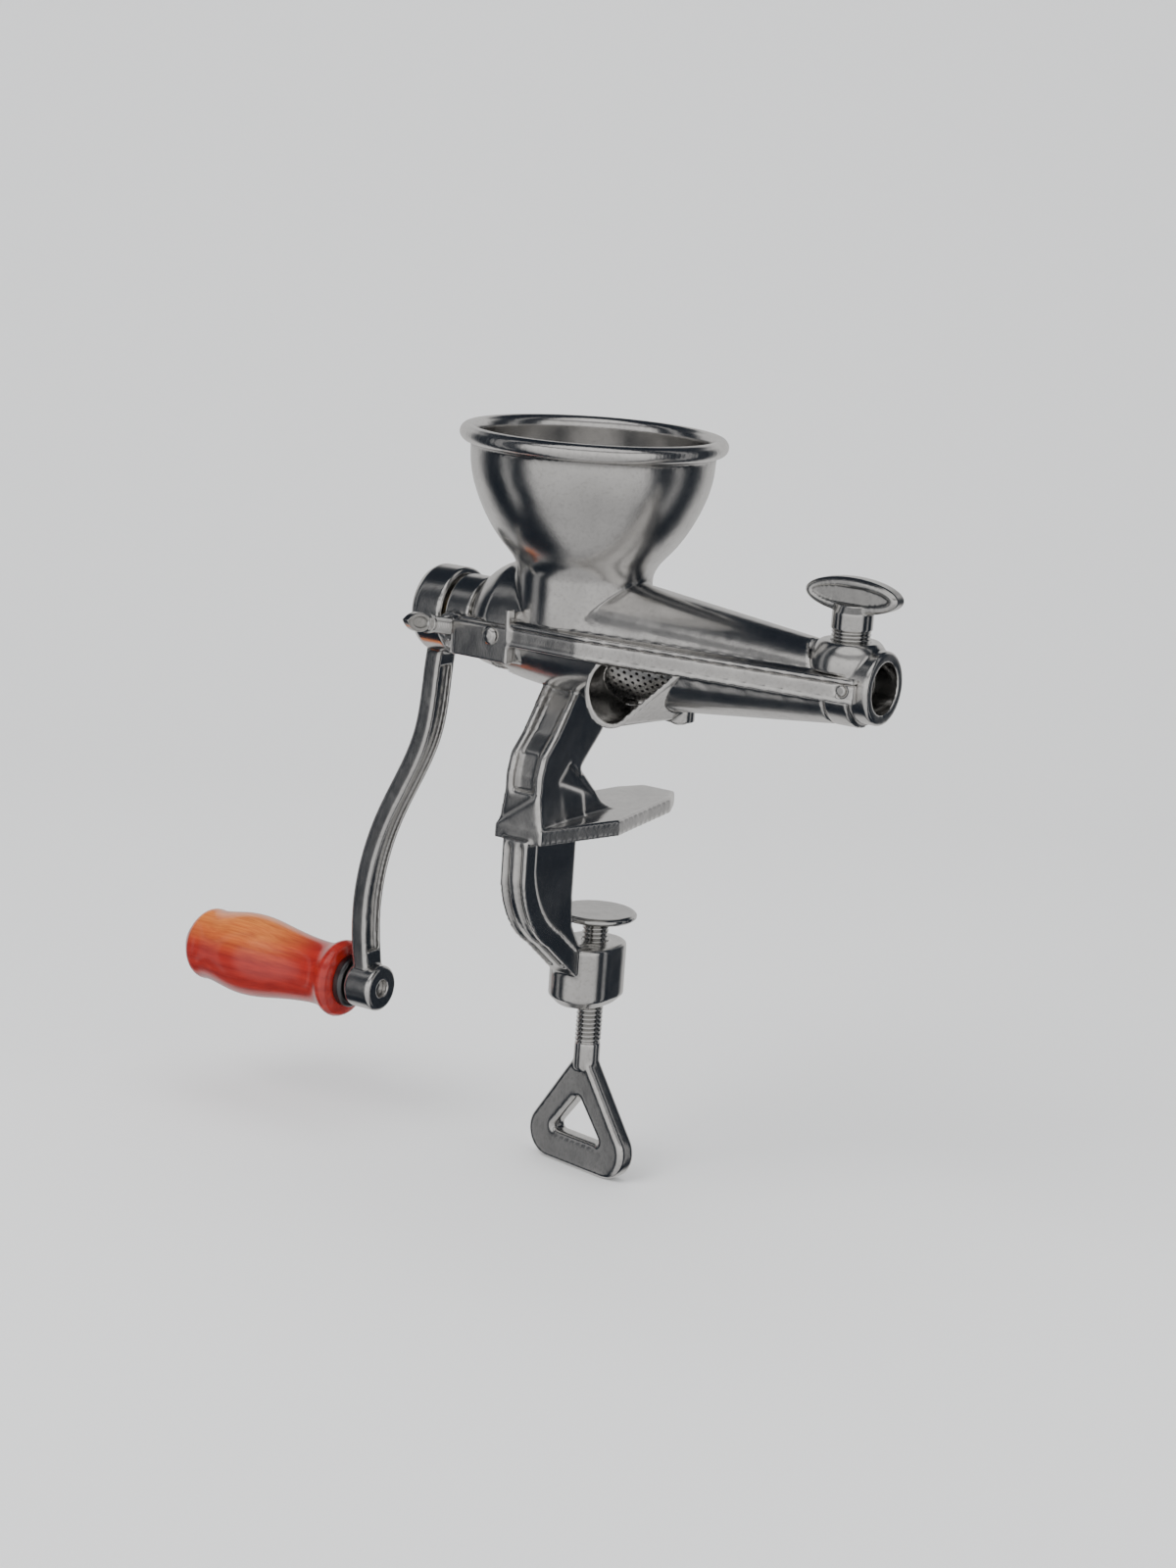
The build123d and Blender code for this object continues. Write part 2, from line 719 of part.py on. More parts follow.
def pressure_screw():
    """Threaded stem with an oval thumb head, and a short pin that carries the throttle plug."""
    stem = turned_upright(
        pressure_x, 0, (0, throttle_top - throttle_neck_length),
        (throttle_neck_radius, throttle_top - throttle_neck_length), (throttle_neck_radius, throttle_top + face_gap),
        *reversed(thread_corners(pressure_thread_radius, 0.55, pressure_pitch, pressure_thread_top,
                                 throttle_top + face_gap)),
        (pressure_stem_radius, pressure_thread_top + 0.3), (pressure_stem_radius, pressure_stem_top - 2.5),
        (pressure_stem_radius - 1.5, pressure_stem_top + 1.0), (0, pressure_stem_top + 1.0),
    )
    middle = thumb_bottom + thumb_height / 2
    half = thumb_thickness / 2

    def oval(inset, y):
        return Pos(0, y, 0) * (Plane.XZ * (Pos(0, middle) * Ellipse(thumb_length / 2 - inset, thumb_height / 2 - inset)))

    edge = 1.4
    head = loft([oval(edge, -half), oval(0.0, edge - half), oval(0.0, half - edge), oval(edge, half)], ruled=True)
    hollow = extrude(oval(edge + thumb_rim, thumb_hollow - half), thumb_hollow + 1)
    head -= hollow
    head -= mirror(hollow, Plane.XZ)
    return stem + Pos(pressure_x, 0, 0) * head


def throttle_plug():
    radius = pressure_thread_radius - face_gap / 2
    plug = turned_upright(
        pressure_x, 0, (0, throttle_bottom), (radius - 1.5, throttle_bottom), (radius, throttle_bottom + 1.5),
        (radius, throttle_top), (0, throttle_top),
    )
    socket_depth = throttle_neck_length + 2 * face_gap
    socket = Pos(pressure_x, 0, throttle_top - socket_depth / 2 + 0.5) * Cylinder(
        throttle_neck_radius + bearing_gap, socket_depth + 1)
    return plug - socket


# ---------------------------------------------------------------- worm
def flight_outer(x):
    """The flight's radius at x: full size at the back, then narrower with the chamber."""
    share = max(0.0, (x - taper_start) / (taper_end - taper_start))
    return worm_chamber_radius - worm_gap + share * (chamber_front_radius - worm_chamber_radius)


def core_radius(x):
    share = (x - worm_start) / (taper_end - worm_start)
    return worm_core_back_radius + share * (worm_core_front_radius - worm_core_back_radius)


def flight_root(x):
    """The flight's inner edge lies inside the core."""
    return core_radius(x) - worm_flight_root


def helical_edge(radius_at, shift):
    """One long edge of the flight, at the radius that radius_at gives for each x."""
    back = worm_flight_back + worm_flight_thickness / 2
    front = worm_flight_front - worm_flight_thickness / 2
    steps = int((front - back) / worm_pitch * worm_steps_per_turn) + 1
    points = []
    for step in range(steps + 1):
        x = back + (front - back) * step / steps
        angle = 2 * pi * (x - back) / worm_pitch
        points.append((x + shift, radius_at(x) * cos(angle), radius_at(x) * sin(angle)))
    return Spline(*points)


def worm_flight():
    """A helical rib with square edges, closed from four ruled faces and two ends."""
    half = worm_flight_thickness / 2
    outer_back, outer_front = helical_edge(flight_outer, -half), helical_edge(flight_outer, half)
    inner_back, inner_front = helical_edge(flight_root, -half), helical_edge(flight_root, half)
    faces = [
        Face.make_surface_from_curves(outer_back, outer_front),
        Face.make_surface_from_curves(outer_back, inner_back),
        Face.make_surface_from_curves(outer_front, inner_front),
        Face.make_surface_from_curves(inner_back, inner_front),
    ]
    for end in (0, 1):
        corners = [edge @ end for edge in (outer_back, outer_front, inner_front, inner_back)]
        faces += make_face(Polyline(*corners, close=True)).faces()
    return Part([Solid(Shell(faces))])


def worm():
    """Core, one helical flight, journal and square tail in one casting."""
    journal_front = neck_ring_back + bush_length + thrust_washer_thickness + 2 * face_gap
    core = turned(
        (hub_right + 1, 0), (hub_right + 1, journal_radius), (journal_front, journal_radius),
        (journal_front, worm_shoulder_radius), (chamber_back + 1, worm_shoulder_radius),
        (worm_start, worm_core_back_radius), (taper_end, worm_core_front_radius),
        (worm_tip, worm_tip_radius), (worm_tip, 0),
    )
    tail_length = hub_right - hub_left - tail_short
    tail = Pos(hub_right - tail_length / 2 + 1, 0, 0) * Box(tail_length + 2, tail_width, tail_width)
    body = core + worm_flight() + tail
    return body - rod(crank_screw_radius + fit_gap, hub_left - 1, hub_left + crank_screw_length + 1)


def thrust_washer():
    back = neck_ring_back + bush_length + face_gap
    front = back + thrust_washer_thickness
    return rod(worm_shoulder_radius, back, front) - rod(journal_radius + fit_gap, back - 1, front + 1)


# ---------------------------------------------------------------- strainer and spout
def strainer_shell(grow=0.0, ends=0.0):
    """The half-round screen below the worm; grow and ends make the pocket it lies in."""
    outside = chamber(worm_chamber_radius, strainer_thickness + grow)
    inside = chamber(worm_chamber_radius)
    length = strainer_front - strainer_back + 2 * ends
    stretch = Pos(strainer_back - ends + length / 2, 0, 0) * Box(length, big, big)
    if grow:
        return outside & stretch & below(parting_height + 1)
    return (outside - inside) & stretch & below(parting_height - 0.2)


def strainer():
    """Holes in staggered rows, square to the screen."""
    screen = strainer_shell()
    holes = []
    rows = int((strainer_hole_last - strainer_hole_first) / (strainer_pitch * 0.87)) + 1
    for row in range(rows):
        x = strainer_hole_first + row * strainer_pitch * 0.87
        share = max(0.0, (x - taper_start) / (taper_end - taper_start))
        radius = worm_chamber_radius + share * (chamber_front_radius - worm_chamber_radius)
        count = int(pi * radius * 0.9 / strainer_pitch)
        step = degrees(strainer_pitch / radius)
        for index in range(count):
            angle = 180 + 90 + (index - (count - 1) / 2 + 0.25 * (-1) ** row) * step
            hole = Cylinder(strainer_hole_radius, 6, align=(Align.CENTER, Align.CENTER, Align.MIN))
            holes.append(Pos(x, 0, 0) * Rot(angle - 90, 0, 0) * Pos(0, 0, radius - 2) * hole)
    return screen - holes


def spout_mouth_plane(out=0.0):
    """The upright plane of the spout's mouth: X of the plane runs along the barrel."""
    (x0, y0), (x1, y1) = spout_mouth_back, spout_mouth_front
    along = Vector(x1 - x0, y1 - y0, 0).normalized()
    outwards = Vector(along.Y, -along.X, 0)
    origin = Vector(x0, y0, 0) + outwards * out
    return Plane(origin=origin, x_dir=along, z_dir=outwards)


def spout_lip(inset=0.0):
    """The mouth's outline in its plane: round below, with a straight slant at the front."""
    z_top = spout_top
    left = ThreePointArc((5.6 + inset, z_top), (1.2 + inset, -19.0), (5.6 + inset, -28.8 + 0.8 * inset))
    bottom = ThreePointArc(
        (5.6 + inset, -28.8 + 0.8 * inset), (12.6, -31.4 + inset), (20.0 - 0.3 * inset, -28.2 + 1.1 * inset))
    slant = Line((20.0 - 0.3 * inset, -28.2 + 1.1 * inset), (43.0 - 1.4 * inset, z_top))
    return make_face(left + bottom + slant + Line((43.0 - 1.4 * inset, z_top), (5.6 + inset, z_top)))


def spout_back(inset=0.0):
    """The outline of the spout's closed rear, under the barrel."""
    left = ThreePointArc((30.5 + inset, -12.0), (28.5 + inset, -22.0), (32.0 + inset, -28.6 + inset))
    bottom = ThreePointArc((32.0 + inset, -28.6 + inset), (41.0, -30.6 + inset), (52.0 - 0.5 * inset, -29.2 + inset))
    slant = Line((52.0 - 0.5 * inset, -29.2 + inset), (67.0 - inset, -12.0))
    return make_face(left + bottom + slant + Line((67.0 - inset, -12.0), (30.5 + inset, -12.0)))


def spout_space():
    """The room inside the spout, which also opens the barrel's wall to it."""
    mouth = spout_mouth_plane(0.5) * spout_lip(spout_wall)
    rear_plane = Plane(origin=(0, spout_rear_y - spout_wall, 0), x_dir=(1, 0, 0), z_dir=(0, -1, 0))
    return loft([mouth, rear_plane * spout_back(spout_wall)], ruled=True)


def spout_screw_hole():
    top = -worm_chamber_radius + 0.9
    length = top - spout_boss_bottom + 1
    return Pos(spout_screw_x, spout_screw_y, top - length / 2) * Cylinder(spout_screw_radius + fit_gap, length)


def juice_spout():
    """A scoop under the strainer, open towards the user, with a thick lip."""
    rear_plane = Plane(origin=(0, spout_rear_y, 0), x_dir=(1, 0, 0), z_dir=(0, -1, 0))
    body = loft([spout_mouth_plane() * spout_lip(), rear_plane * spout_back()], ruled=True)
    rim = spout_mouth_plane(-spout_rim_width + 0.4) * spout_lip(-spout_rim_proud)
    body += extrude(rim, spout_rim_width, dir=spout_mouth_plane().z_dir)
    body &= below(spout_top)
    body -= spout_space()
    boss_length = -20 - spout_boss_bottom
    body += Pos(spout_screw_x, spout_screw_y, spout_boss_bottom + boss_length / 2) * Cylinder(
        spout_boss_radius, boss_length)
    body -= turned((shoulder_back, 0), (20, 0), (20, belly_radius + fit_gap), (belly_end, belly_radius + fit_gap),
                   (lower_front, lower_front_radius + fit_gap), (lower_front, 0))
    body -= spout_screw_hole()
    return body


def spout_screw():
    """A round-headed screw up through the spout's boss into the barrel."""
    low = spout_boss_bottom
    return turned_upright(
        spout_screw_x, spout_screw_y, (0, low - spout_screw_head_height),
        (spout_screw_head_radius * 0.6, low - spout_screw_head_height),
        (spout_screw_head_radius, low - spout_screw_head_height * 0.4), (spout_screw_head_radius, low),
        (spout_screw_radius, low), (spout_screw_radius, -22.0), (0, -22.0),
    )


# ---------------------------------------------------------------- clamp
def clamp_pad():
    bottom = pad_top - pad_thickness
    pad = turned_upright(
        0, clamp_reach, (0, pad_top), (pad_radius - 1.2, pad_top), (pad_radius, pad_top - 1.0),
        (pad_radius, pad_top - 2.2), (pad_radius - 1.6, bottom), (pad_hub_radius + 0.6, bottom),
        (pad_hub_radius, bottom - pad_hub_height), (0, bottom - pad_hub_height),
    )
    depth = pad_spigot_length + face_gap
    low = bottom - pad_hub_height
    socket = Pos(0, clamp_reach, low + depth / 2 - 0.5) * Cylinder(pad_spigot_radius + bearing_gap, depth + 1)
    return pad - socket


def loop_handle():
    """The flat triangular eye at the screw's lower end."""
    low = loop_bottom + loop_corner_radius
    width = loop_half_width - loop_corner_radius
    outline = make_hull([
        *(Pos(0, clamp_shank_end + 1) * Circle(clamp_thread_radius)).edges(),
        *(Pos(width, low) * Circle(loop_corner_radius)).edges(),
        *(Pos(-width, low) * Circle(loop_corner_radius)).edges(),
    ])
    small = loop_rounding * 0.7
    hole_low = loop_hole_bottom + small
    hole_width = loop_hole_half_width - small
    hole = make_hull([
        *(Pos(0, loop_hole_top - small) * Circle(small)).edges(),
        *(Pos(hole_width, hole_low) * Circle(small)).edges(),
        *(Pos(-hole_width, hole_low) * Circle(small)).edges(),
    ])
    eye = extrude(Plane.XZ * make_face(outline.edges()), loop_thickness / 2, both=True)
    eye -= extrude(Plane.XZ * make_face(hole.edges()), loop_thickness, both=True)
    rims = eye.edges().filter_by(lambda edge: abs(abs(edge.center().Y) - loop_thickness / 2) < 0.01)
    eye = fillet(rims, loop_rounding)
    return Pos(0, clamp_reach, 0) * Rot(0, 0, loop_turn) * eye


def clamp_screw():
    shoulder = pad_top - pad_thickness - pad_hub_height - face_gap
    tip = shoulder + pad_spigot_length - face_gap
    body = turned_upright(
        0, clamp_reach, (0, tip), (pad_spigot_radius, tip), (pad_spigot_radius, shoulder),
        *thread_corners(clamp_thread_radius, clamp_thread_depth, clamp_pitch, shoulder, clamp_thread_end),
        (clamp_thread_radius, clamp_shank_end), (0, clamp_shank_end),
    )
    return body + loop_handle()


# ---------------------------------------------------------------- crank
def arm_line():
    """The arm's centre line from hub to lower boss, as (x, z) points."""
    hub_middle = (hub_left + hub_right) / 2
    boss_middle = (lower_boss_left + lower_boss_right) / 2
    bends = [   # how far down the arm, and how far over from the hub to the boss, as shares
        (0.033, -0.02), (0.121, 0.10), (0.220, 0.148), (0.320, 0.237), (0.424, 0.466), (0.543, 0.786),
        (0.672, 1.024), (0.805, 1.119), (0.915, 1.082), (1.0, 1.0),
    ]
    return [(hub_middle + over * (boss_middle - hub_middle), -down * crank_radius) for down, over in bends]


def arm_plate(inset_left, inset_right, half_width):
    """A plate along the arm's line, with its two faces moved inwards as asked."""
    points = arm_line()
    left, right = [], []
    for index, (x, z) in enumerate(points):
        x0, z0 = points[max(index - 1, 0)]
        x1, z1 = points[min(index + 1, len(points) - 1)]
        run = hypot(x1 - x0, z1 - z0)
        across = ((z0 - z1) / run, (x1 - x0) / run)
        near = arm_axial / 2 - inset_right
        far = arm_axial / 2 - inset_left
        right.append((x + across[0] * near, z + across[1] * near))
        left.append((x - across[0] * far, z - across[1] * far))
    outline = Spline(*right) + Line(right[-1], left[-1]) + Spline(*reversed(left)) + Line(left[0], right[0])
    return extrude(Plane.XZ * make_face(outline), half_width, both=True)


def crank_arm():
    """Hub, S-shaped arm with a channel down its inner face, and lower boss."""
    arm = arm_plate(0, 0, arm_width / 2)
    long_edges = arm.edges().filter_by(lambda edge: edge.length > crank_radius * 0.8)
    arm = fillet(long_edges, arm_fillet)
    channel = arm_plate(arm_axial - arm_channel_depth, -2.0, arm_channel_half_width)
    channel &= below(-hub_radius - 6) & above(-crank_radius + lower_boss_radius + 6)
    arm -= channel
    hub = turned(
        (hub_left, 0), (hub_left, hub_radius - hub_chamfer), (hub_left + 1.6, hub_radius - 1.4),
        (hub_left + hub_chamfer, hub_radius), (hub_right - 0.8, hub_radius), (hub_right, hub_radius - 0.8),
        (hub_right, 0),
    )
    boss = turned(
        (lower_boss_left, 0), (lower_boss_left, lower_boss_radius - 1), (lower_boss_left + 1, lower_boss_radius),
        (lower_boss_right - 1, lower_boss_radius), (lower_boss_right, lower_boss_radius - 1.2),
        (lower_boss_right, 0),
    )
    body = hub + arm + Pos(0, 0, -crank_radius) * boss
    hole_width = tail_width + 2 * tail_fit
    body -= Pos((hub_left + hub_right) / 2, 0, 0) * Box(hub_right - hub_left + 2, hole_width, hole_width)
    pin_hole = rod(handle_pin_radius + fit_gap, lower_boss_left - 1, lower_boss_right + 1)
    return body - Pos(0, 0, -crank_radius) * pin_hole


def crank_washer():
    left = hub_left - crank_washer_thickness
    return rod(crank_washer_radius, left, hub_left) - rod(crank_screw_radius + fit_gap, left - 1, hub_left + 1)


def crank_screw():
    """A hexagon-headed screw into the end of the worm's tail."""
    seat = hub_left - crank_washer_thickness
    head = Pos(seat - crank_screw_head_height / 2, 0, 0) * Rot(0, 90, 0) * extrude(
        RegularPolygon(crank_screw_head_radius, 6), crank_screw_head_height / 2, both=True)
    return head + rod(crank_screw_radius, seat - 1, hub_left + crank_screw_length)


# ---------------------------------------------------------------- handle
def grip_start():
    """The grip's face next to the ferrule."""
    return lower_boss_left - ferrule_gap - ferrule_length


def grip_recess_bottom():
    return grip_start() - grip_length + handle_pin_head_height + pin_washer_thickness + 3 * face_gap + 0.8


def handle_pin():
    """The spindle the grip turns on: its inner end is pressed into the arm's boss."""
    head_left = grip_recess_bottom() - pin_washer_thickness - 2 * face_gap - handle_pin_head_height
    head_right = head_left + handle_pin_head_height
    shaft = rod(handle_pin_radius, head_right - 0.5, lower_boss_right - handle_pin_recess)
    head = turned(
        (head_left, 0), (head_left, handle_pin_head_radius - 1), (head_left + 1, handle_pin_head_radius),
        (head_right, handle_pin_head_radius), (head_right, 0),
    )
    return Pos(0, 0, -crank_radius) * (shaft + head)


def pin_washer():
    right = grip_recess_bottom() - face_gap
    washer = rod(handle_pin_head_radius, right - pin_washer_thickness, right)
    washer -= rod(handle_pin_radius + fit_gap, right - 5, right + 5)
    return Pos(0, 0, -crank_radius) * washer


def handle_ferrule():
    right = lower_boss_left - ferrule_gap
    ring = turned((grip_start(), 0), (grip_start(), ferrule_radius), (right - 1, ferrule_radius),
                  (right, ferrule_radius - 1), (right, 0))
    return Pos(0, 0, -crank_radius) * (ring - rod(handle_pin_radius + bearing_gap, grip_start() - 1, right + 1))


def handle_grip():
    """Turned wood: a flare at the ferrule, a waist and a full palm swell."""
    start = grip_start()
    end = start - grip_length
    side = Spline(
        (start - 3.4, grip_flare_radius), (start - 8.0, grip_flare_radius - 1.6),
        (start - 19.0, grip_waist_radius), (start - 40.0, grip_waist_radius + 2.6),
        (start - 62.0, grip_palm_radius), (start - 80.0, grip_palm_radius - 2.4), (end + 2.0, grip_end_radius + 1.6),
        tangents=[(-1.0, 0.12), (-0.75, -1.0)],
    )
    rest = Polyline(
        (end + 2.0, grip_end_radius + 1.6), (end, grip_end_radius - 0.4), (end, 0), (start, 0),
        (start, ferrule_radius + 0.6), (start - 1.0, grip_flare_radius - 1.2), (start - 3.4, grip_flare_radius),
    )
    body = revolve(make_face(side + rest), Axis.X)
    body -= rod(handle_pin_radius + bearing_gap, end - 1, start + 1)
    body -= rod(grip_recess_radius, end - 1, grip_recess_bottom())
    return Pos(0, 0, -crank_radius) * body


# ---------------------------------------------------------------- writing the pieces
pieces = {
    "base_casting": base_casting,
    "hopper_casting": hopper_casting,
    "rear_collar": rear_collar,
    "collar_rivets": collar_rivets,
    "rear_bush": rear_bush,
    "lock_screw": lock_screw,
    "front_cap": front_cap,
    "cap_lock_pins": cap_lock_pins,
    "pressure_screw": pressure_screw,
    "throttle_plug": throttle_plug,
    "worm": worm,
    "thrust_washer": thrust_washer,
    "strainer": strainer,
    "juice_spout": juice_spout,
    "spout_screw": spout_screw,
    "clamp_screw": clamp_screw,
    "clamp_pad": clamp_pad,
    "crank_arm": crank_arm,
    "crank_screw": crank_screw,
    "crank_washer": crank_washer,
    "handle_pin": handle_pin,
    "pin_washer": pin_washer,
    "handle_ferrule": handle_ferrule,
    "handle_grip": handle_grip,
}

os.makedirs("parts", exist_ok=True)
to_seat = Pos(0, -clamp_reach, jaw_depth)
for name, make in pieces.items():
    export_step(to_seat * make(), f"parts/{name}.step")
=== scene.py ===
import json
from math import cos, pi, radians, sin

import bmesh
import bpy
from mathutils import Matrix, Vector

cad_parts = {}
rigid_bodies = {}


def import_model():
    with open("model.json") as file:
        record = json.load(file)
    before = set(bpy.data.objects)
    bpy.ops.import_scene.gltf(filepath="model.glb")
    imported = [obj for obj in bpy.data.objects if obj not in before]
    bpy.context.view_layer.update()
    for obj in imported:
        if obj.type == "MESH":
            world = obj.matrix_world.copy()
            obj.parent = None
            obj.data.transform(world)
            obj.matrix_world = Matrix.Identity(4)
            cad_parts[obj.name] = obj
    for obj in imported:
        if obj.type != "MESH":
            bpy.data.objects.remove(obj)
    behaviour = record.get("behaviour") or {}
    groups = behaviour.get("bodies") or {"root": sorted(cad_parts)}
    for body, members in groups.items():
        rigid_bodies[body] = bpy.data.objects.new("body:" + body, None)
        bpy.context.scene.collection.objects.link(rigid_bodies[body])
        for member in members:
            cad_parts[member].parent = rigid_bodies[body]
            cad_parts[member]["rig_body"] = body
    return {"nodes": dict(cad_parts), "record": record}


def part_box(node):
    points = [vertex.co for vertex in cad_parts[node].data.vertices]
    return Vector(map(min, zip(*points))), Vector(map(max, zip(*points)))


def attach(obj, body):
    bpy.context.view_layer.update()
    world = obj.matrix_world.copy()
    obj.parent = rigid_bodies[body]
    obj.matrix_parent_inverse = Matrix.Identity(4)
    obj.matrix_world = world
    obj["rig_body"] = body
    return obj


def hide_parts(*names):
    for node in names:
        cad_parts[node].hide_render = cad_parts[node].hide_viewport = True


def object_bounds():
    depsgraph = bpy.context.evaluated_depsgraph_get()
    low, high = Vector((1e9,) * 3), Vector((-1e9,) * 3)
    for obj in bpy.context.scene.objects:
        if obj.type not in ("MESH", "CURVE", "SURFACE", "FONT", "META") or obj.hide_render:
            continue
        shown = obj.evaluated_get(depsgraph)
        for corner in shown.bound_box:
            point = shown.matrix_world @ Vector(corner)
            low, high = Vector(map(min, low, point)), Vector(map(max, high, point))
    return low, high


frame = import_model()
nodes = frame["nodes"]
cad_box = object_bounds()
scene = bpy.context.scene


# ---- camera ----
# The juicer is seen from its front right and a little above, with the view tipped slightly
# about its own axis.
view_azimuth = radians(33.14)
view_elevation = radians(12.78)
view_roll = radians(3.98)
view_distance = 1.3979
view_centre = Vector((0.0062, -0.0239, 0.0200))
view_back = Vector((
    sin(view_azimuth) * cos(view_elevation), -cos(view_azimuth) * cos(view_elevation), sin(view_elevation),
))
view_right = Vector((cos(view_azimuth), sin(view_azimuth), 0.0))
view_up = view_back.cross(view_right)
rolled_right = view_right * cos(view_roll) + view_up * sin(view_roll)
rolled_up = view_up * cos(view_roll) - view_right * sin(view_roll)

camera_data = bpy.data.cameras.new("camera")
camera_data.lens = 73.68
camera_data.sensor_width = 36.0
camera_data.clip_end = 20.0
camera = bpy.data.objects.new("camera", camera_data)
scene.collection.objects.link(camera)
turn = Matrix((rolled_right, rolled_up, view_back)).transposed().to_4x4()
camera.matrix_world = Matrix.Translation(view_centre + view_back * view_distance) @ turn
scene.camera = camera


# ---- studio ----
# A pale floor curves up into a pale wall behind the juicer. Soft panels light it, and polished
# metal mirrors a ring of bright panels with dark gaps between them, as in a photographer's tent.
floor_level = cad_box[0].z
floor_half_width = 3.0
floor_front = -3.2
wall_foot = 0.75            # how far behind the juicer the floor starts to rise
wall_bend = 0.9
wall_height = 3.4
bend_steps = 24
paper_colour = (0.88, 0.88, 0.87)
paper_roughness = 0.9


def backdrop_point(across, step):
    """A point of the sweep: floor in front, a quarter circle, then the wall."""
    if step < 0:
        along, height = floor_front, 0.0
    elif step > bend_steps:
        along, height = wall_foot + wall_bend, wall_height
    else:
        angle = step / bend_steps * pi / 2
        along, height = wall_foot + wall_bend * sin(angle), wall_bend * (1 - cos(angle))
    flat_back = -Vector((view_back.x, view_back.y, 0)).normalized()
    return view_right * across + flat_back * along + Vector((0, 0, floor_level + height))


sweep = bpy.data.meshes.new("backdrop")
rows = range(-1, bend_steps + 2)
points = [backdrop_point(side * floor_half_width, step) for step in rows for side in (-1, 1)]
quads = [(2 * i, 2 * i + 1, 2 * i + 3, 2 * i + 2) for i in range(len(rows) - 1)]
sweep.from_pydata(points, [], quads)
for face in sweep.polygons:
    face.use_smooth = True
backdrop = bpy.data.objects.new("backdrop", sweep)
scene.collection.objects.link(backdrop)
backdrop.visible_glossy = False
paper = bpy.data.materials.new("pale_paper")
paper.use_nodes = True
paper_shader = paper.node_tree.nodes["Principled BSDF"]
paper_shader.inputs["Base Color"].default_value = (*paper_colour, 1)
paper_shader.inputs["Roughness"].default_value = paper_roughness
sweep.materials.append(paper)


def soft_panel(name, back, right, up, size, power):
    """A square soft light that faces the juicer from back, right and up of it; metal doesn't mirror it."""
    data = bpy.data.lights.new(name, "AREA")
    data.size = size
    data.energy = power
    lamp = bpy.data.objects.new(name, data)
    scene.collection.objects.link(lamp)
    lamp.location = view_centre + view_back * back + view_right * right + Vector((0, 0, up))
    lamp.rotation_mode = "QUATERNION"
    lamp.rotation_quaternion = (lamp.location - view_centre).to_track_quat("Z", "Y")
    lamp.visible_glossy = False


soft_panel("key_panel", back=1.1, right=-1.3, up=1.5, size=1.4, power=34)
soft_panel("fill_panel", back=1.3, right=1.6, up=0.7, size=1.6, power=16)
soft_panel("top_panel", back=0.0, right=0.0, up=1.9, size=1.8, power=16)

world = bpy.data.worlds.new("studio")
world.use_nodes = True
scene.world = world
tree = world.node_tree
tree.nodes.clear()


def calculator(node_tree):
    """A function that adds a maths node to this tree; it takes numbers and sockets."""
    def calc(operation, *values):
        node = node_tree.nodes.new("ShaderNodeMath")
        node.operation = operation
        for slot, value in zip(node.inputs, values):
            if isinstance(value, (int, float)):
                slot.default_value = value
            else:
                node_tree.links.new(value, slot)
        return node.outputs[0]
    return calc


def mixed_colour(node_tree, share, first, second, blend="MIX"):
    """A colour node between first and second, which are colours or sockets; returns its result."""
    node = node_tree.nodes.new("ShaderNodeMix")
    node.data_type = "RGBA"
    node.blend_type = blend
    factor, colours = node.inputs[0], node.inputs[6:8]
    if isinstance(share, float):
        factor.default_value = share
    else:
        node_tree.links.new(share, factor)
    for slot, colour in zip(colours, (first, second)):
        if isinstance(colour, tuple):
            slot.default_value = (*colour, 1)
        else:
            node_tree.links.new(colour, slot)
    return node.outputs[2]


def ramp_up(node_tree, value, start, end):
    """0 below start, 1 above end, smooth between; start above end turns it round."""
    node = node_tree.nodes.new("ShaderNodeMapRange")
    node.interpolation_type = "SMOOTHSTEP"
    node_tree.links.new(value, node.inputs["Value"])
    node.inputs["From Min"].default_value = start
    node.inputs["From Max"].default_value = end
    return node.outputs["Result"]


world_math = calculator(tree)


def window(value, low, high, soft):
    """1 between low and high degrees, fading to 0 over soft degrees outside."""
    rise = ramp_up(tree, value, low - soft, low)
    fall = ramp_up(tree, value, high + soft, high)
    return world_math("MULTIPLY", rise, fall)


# Bearings run from the viewer's side, positive to the viewer's right; heights are above level.
where = tree.nodes.new("ShaderNodeTexCoord").outputs["Generated"]
level = tree.nodes.new("ShaderNodeMapping")
level.vector_type = "VECTOR"
level.inputs["Rotation"].default_value = (0, 0, -view_azimuth)
tree.links.new(where, level.inputs["Vector"])
split = tree.nodes.new("ShaderNodeSeparateXYZ")
tree.links.new(level.outputs["Vector"], split.inputs[0])
towards_viewer = world_math("MULTIPLY", split.outputs["Y"], -1.0)
bearing = world_math("DEGREES", world_math("ARCTAN2", split.outputs["X"], towards_viewer))
height = world_math("DEGREES", world_math("ARCSINE", split.outputs["Z"]))
bearing_away = world_math("ABSOLUTE", bearing)

front_panel = world_math(
    "MULTIPLY", window(bearing, low=-57, high=50, soft=13), window(height, low=-80, high=80, soft=8))
front_foot, front_rise = 0.46, 0.36         # brightness at the panel's foot, and how much it gains
front_fall = world_math("MULTIPLY_ADD", ramp_up(tree, height, -55, 25), front_rise, front_foot)
gap_depth = 0.72
front_gap = world_math("MULTIPLY_ADD", window(height, low=33, high=42, soft=7), -gap_depth, 1.0)
back_panel = world_math(
    "MULTIPLY", ramp_up(tree, bearing_away, 116, 142), window(height, low=-60, high=26, soft=9))
side_strip = world_math(
    "MULTIPLY", window(bearing_away, low=86, high=93, soft=5), window(height, low=-34, high=54, soft=10))
below = ramp_up(tree, height, -66, -84)
back_glow, side_glow, below_glow = 0.64, 0.30, 0.36
glow = world_math("MULTIPLY", world_math("MULTIPLY", front_panel, front_fall), front_gap)
for panel, brightness in ((back_panel, back_glow), (side_strip, side_glow), (below, below_glow)):
    glow = world_math("MAXIMUM", glow, world_math("MULTIPLY", panel, brightness))

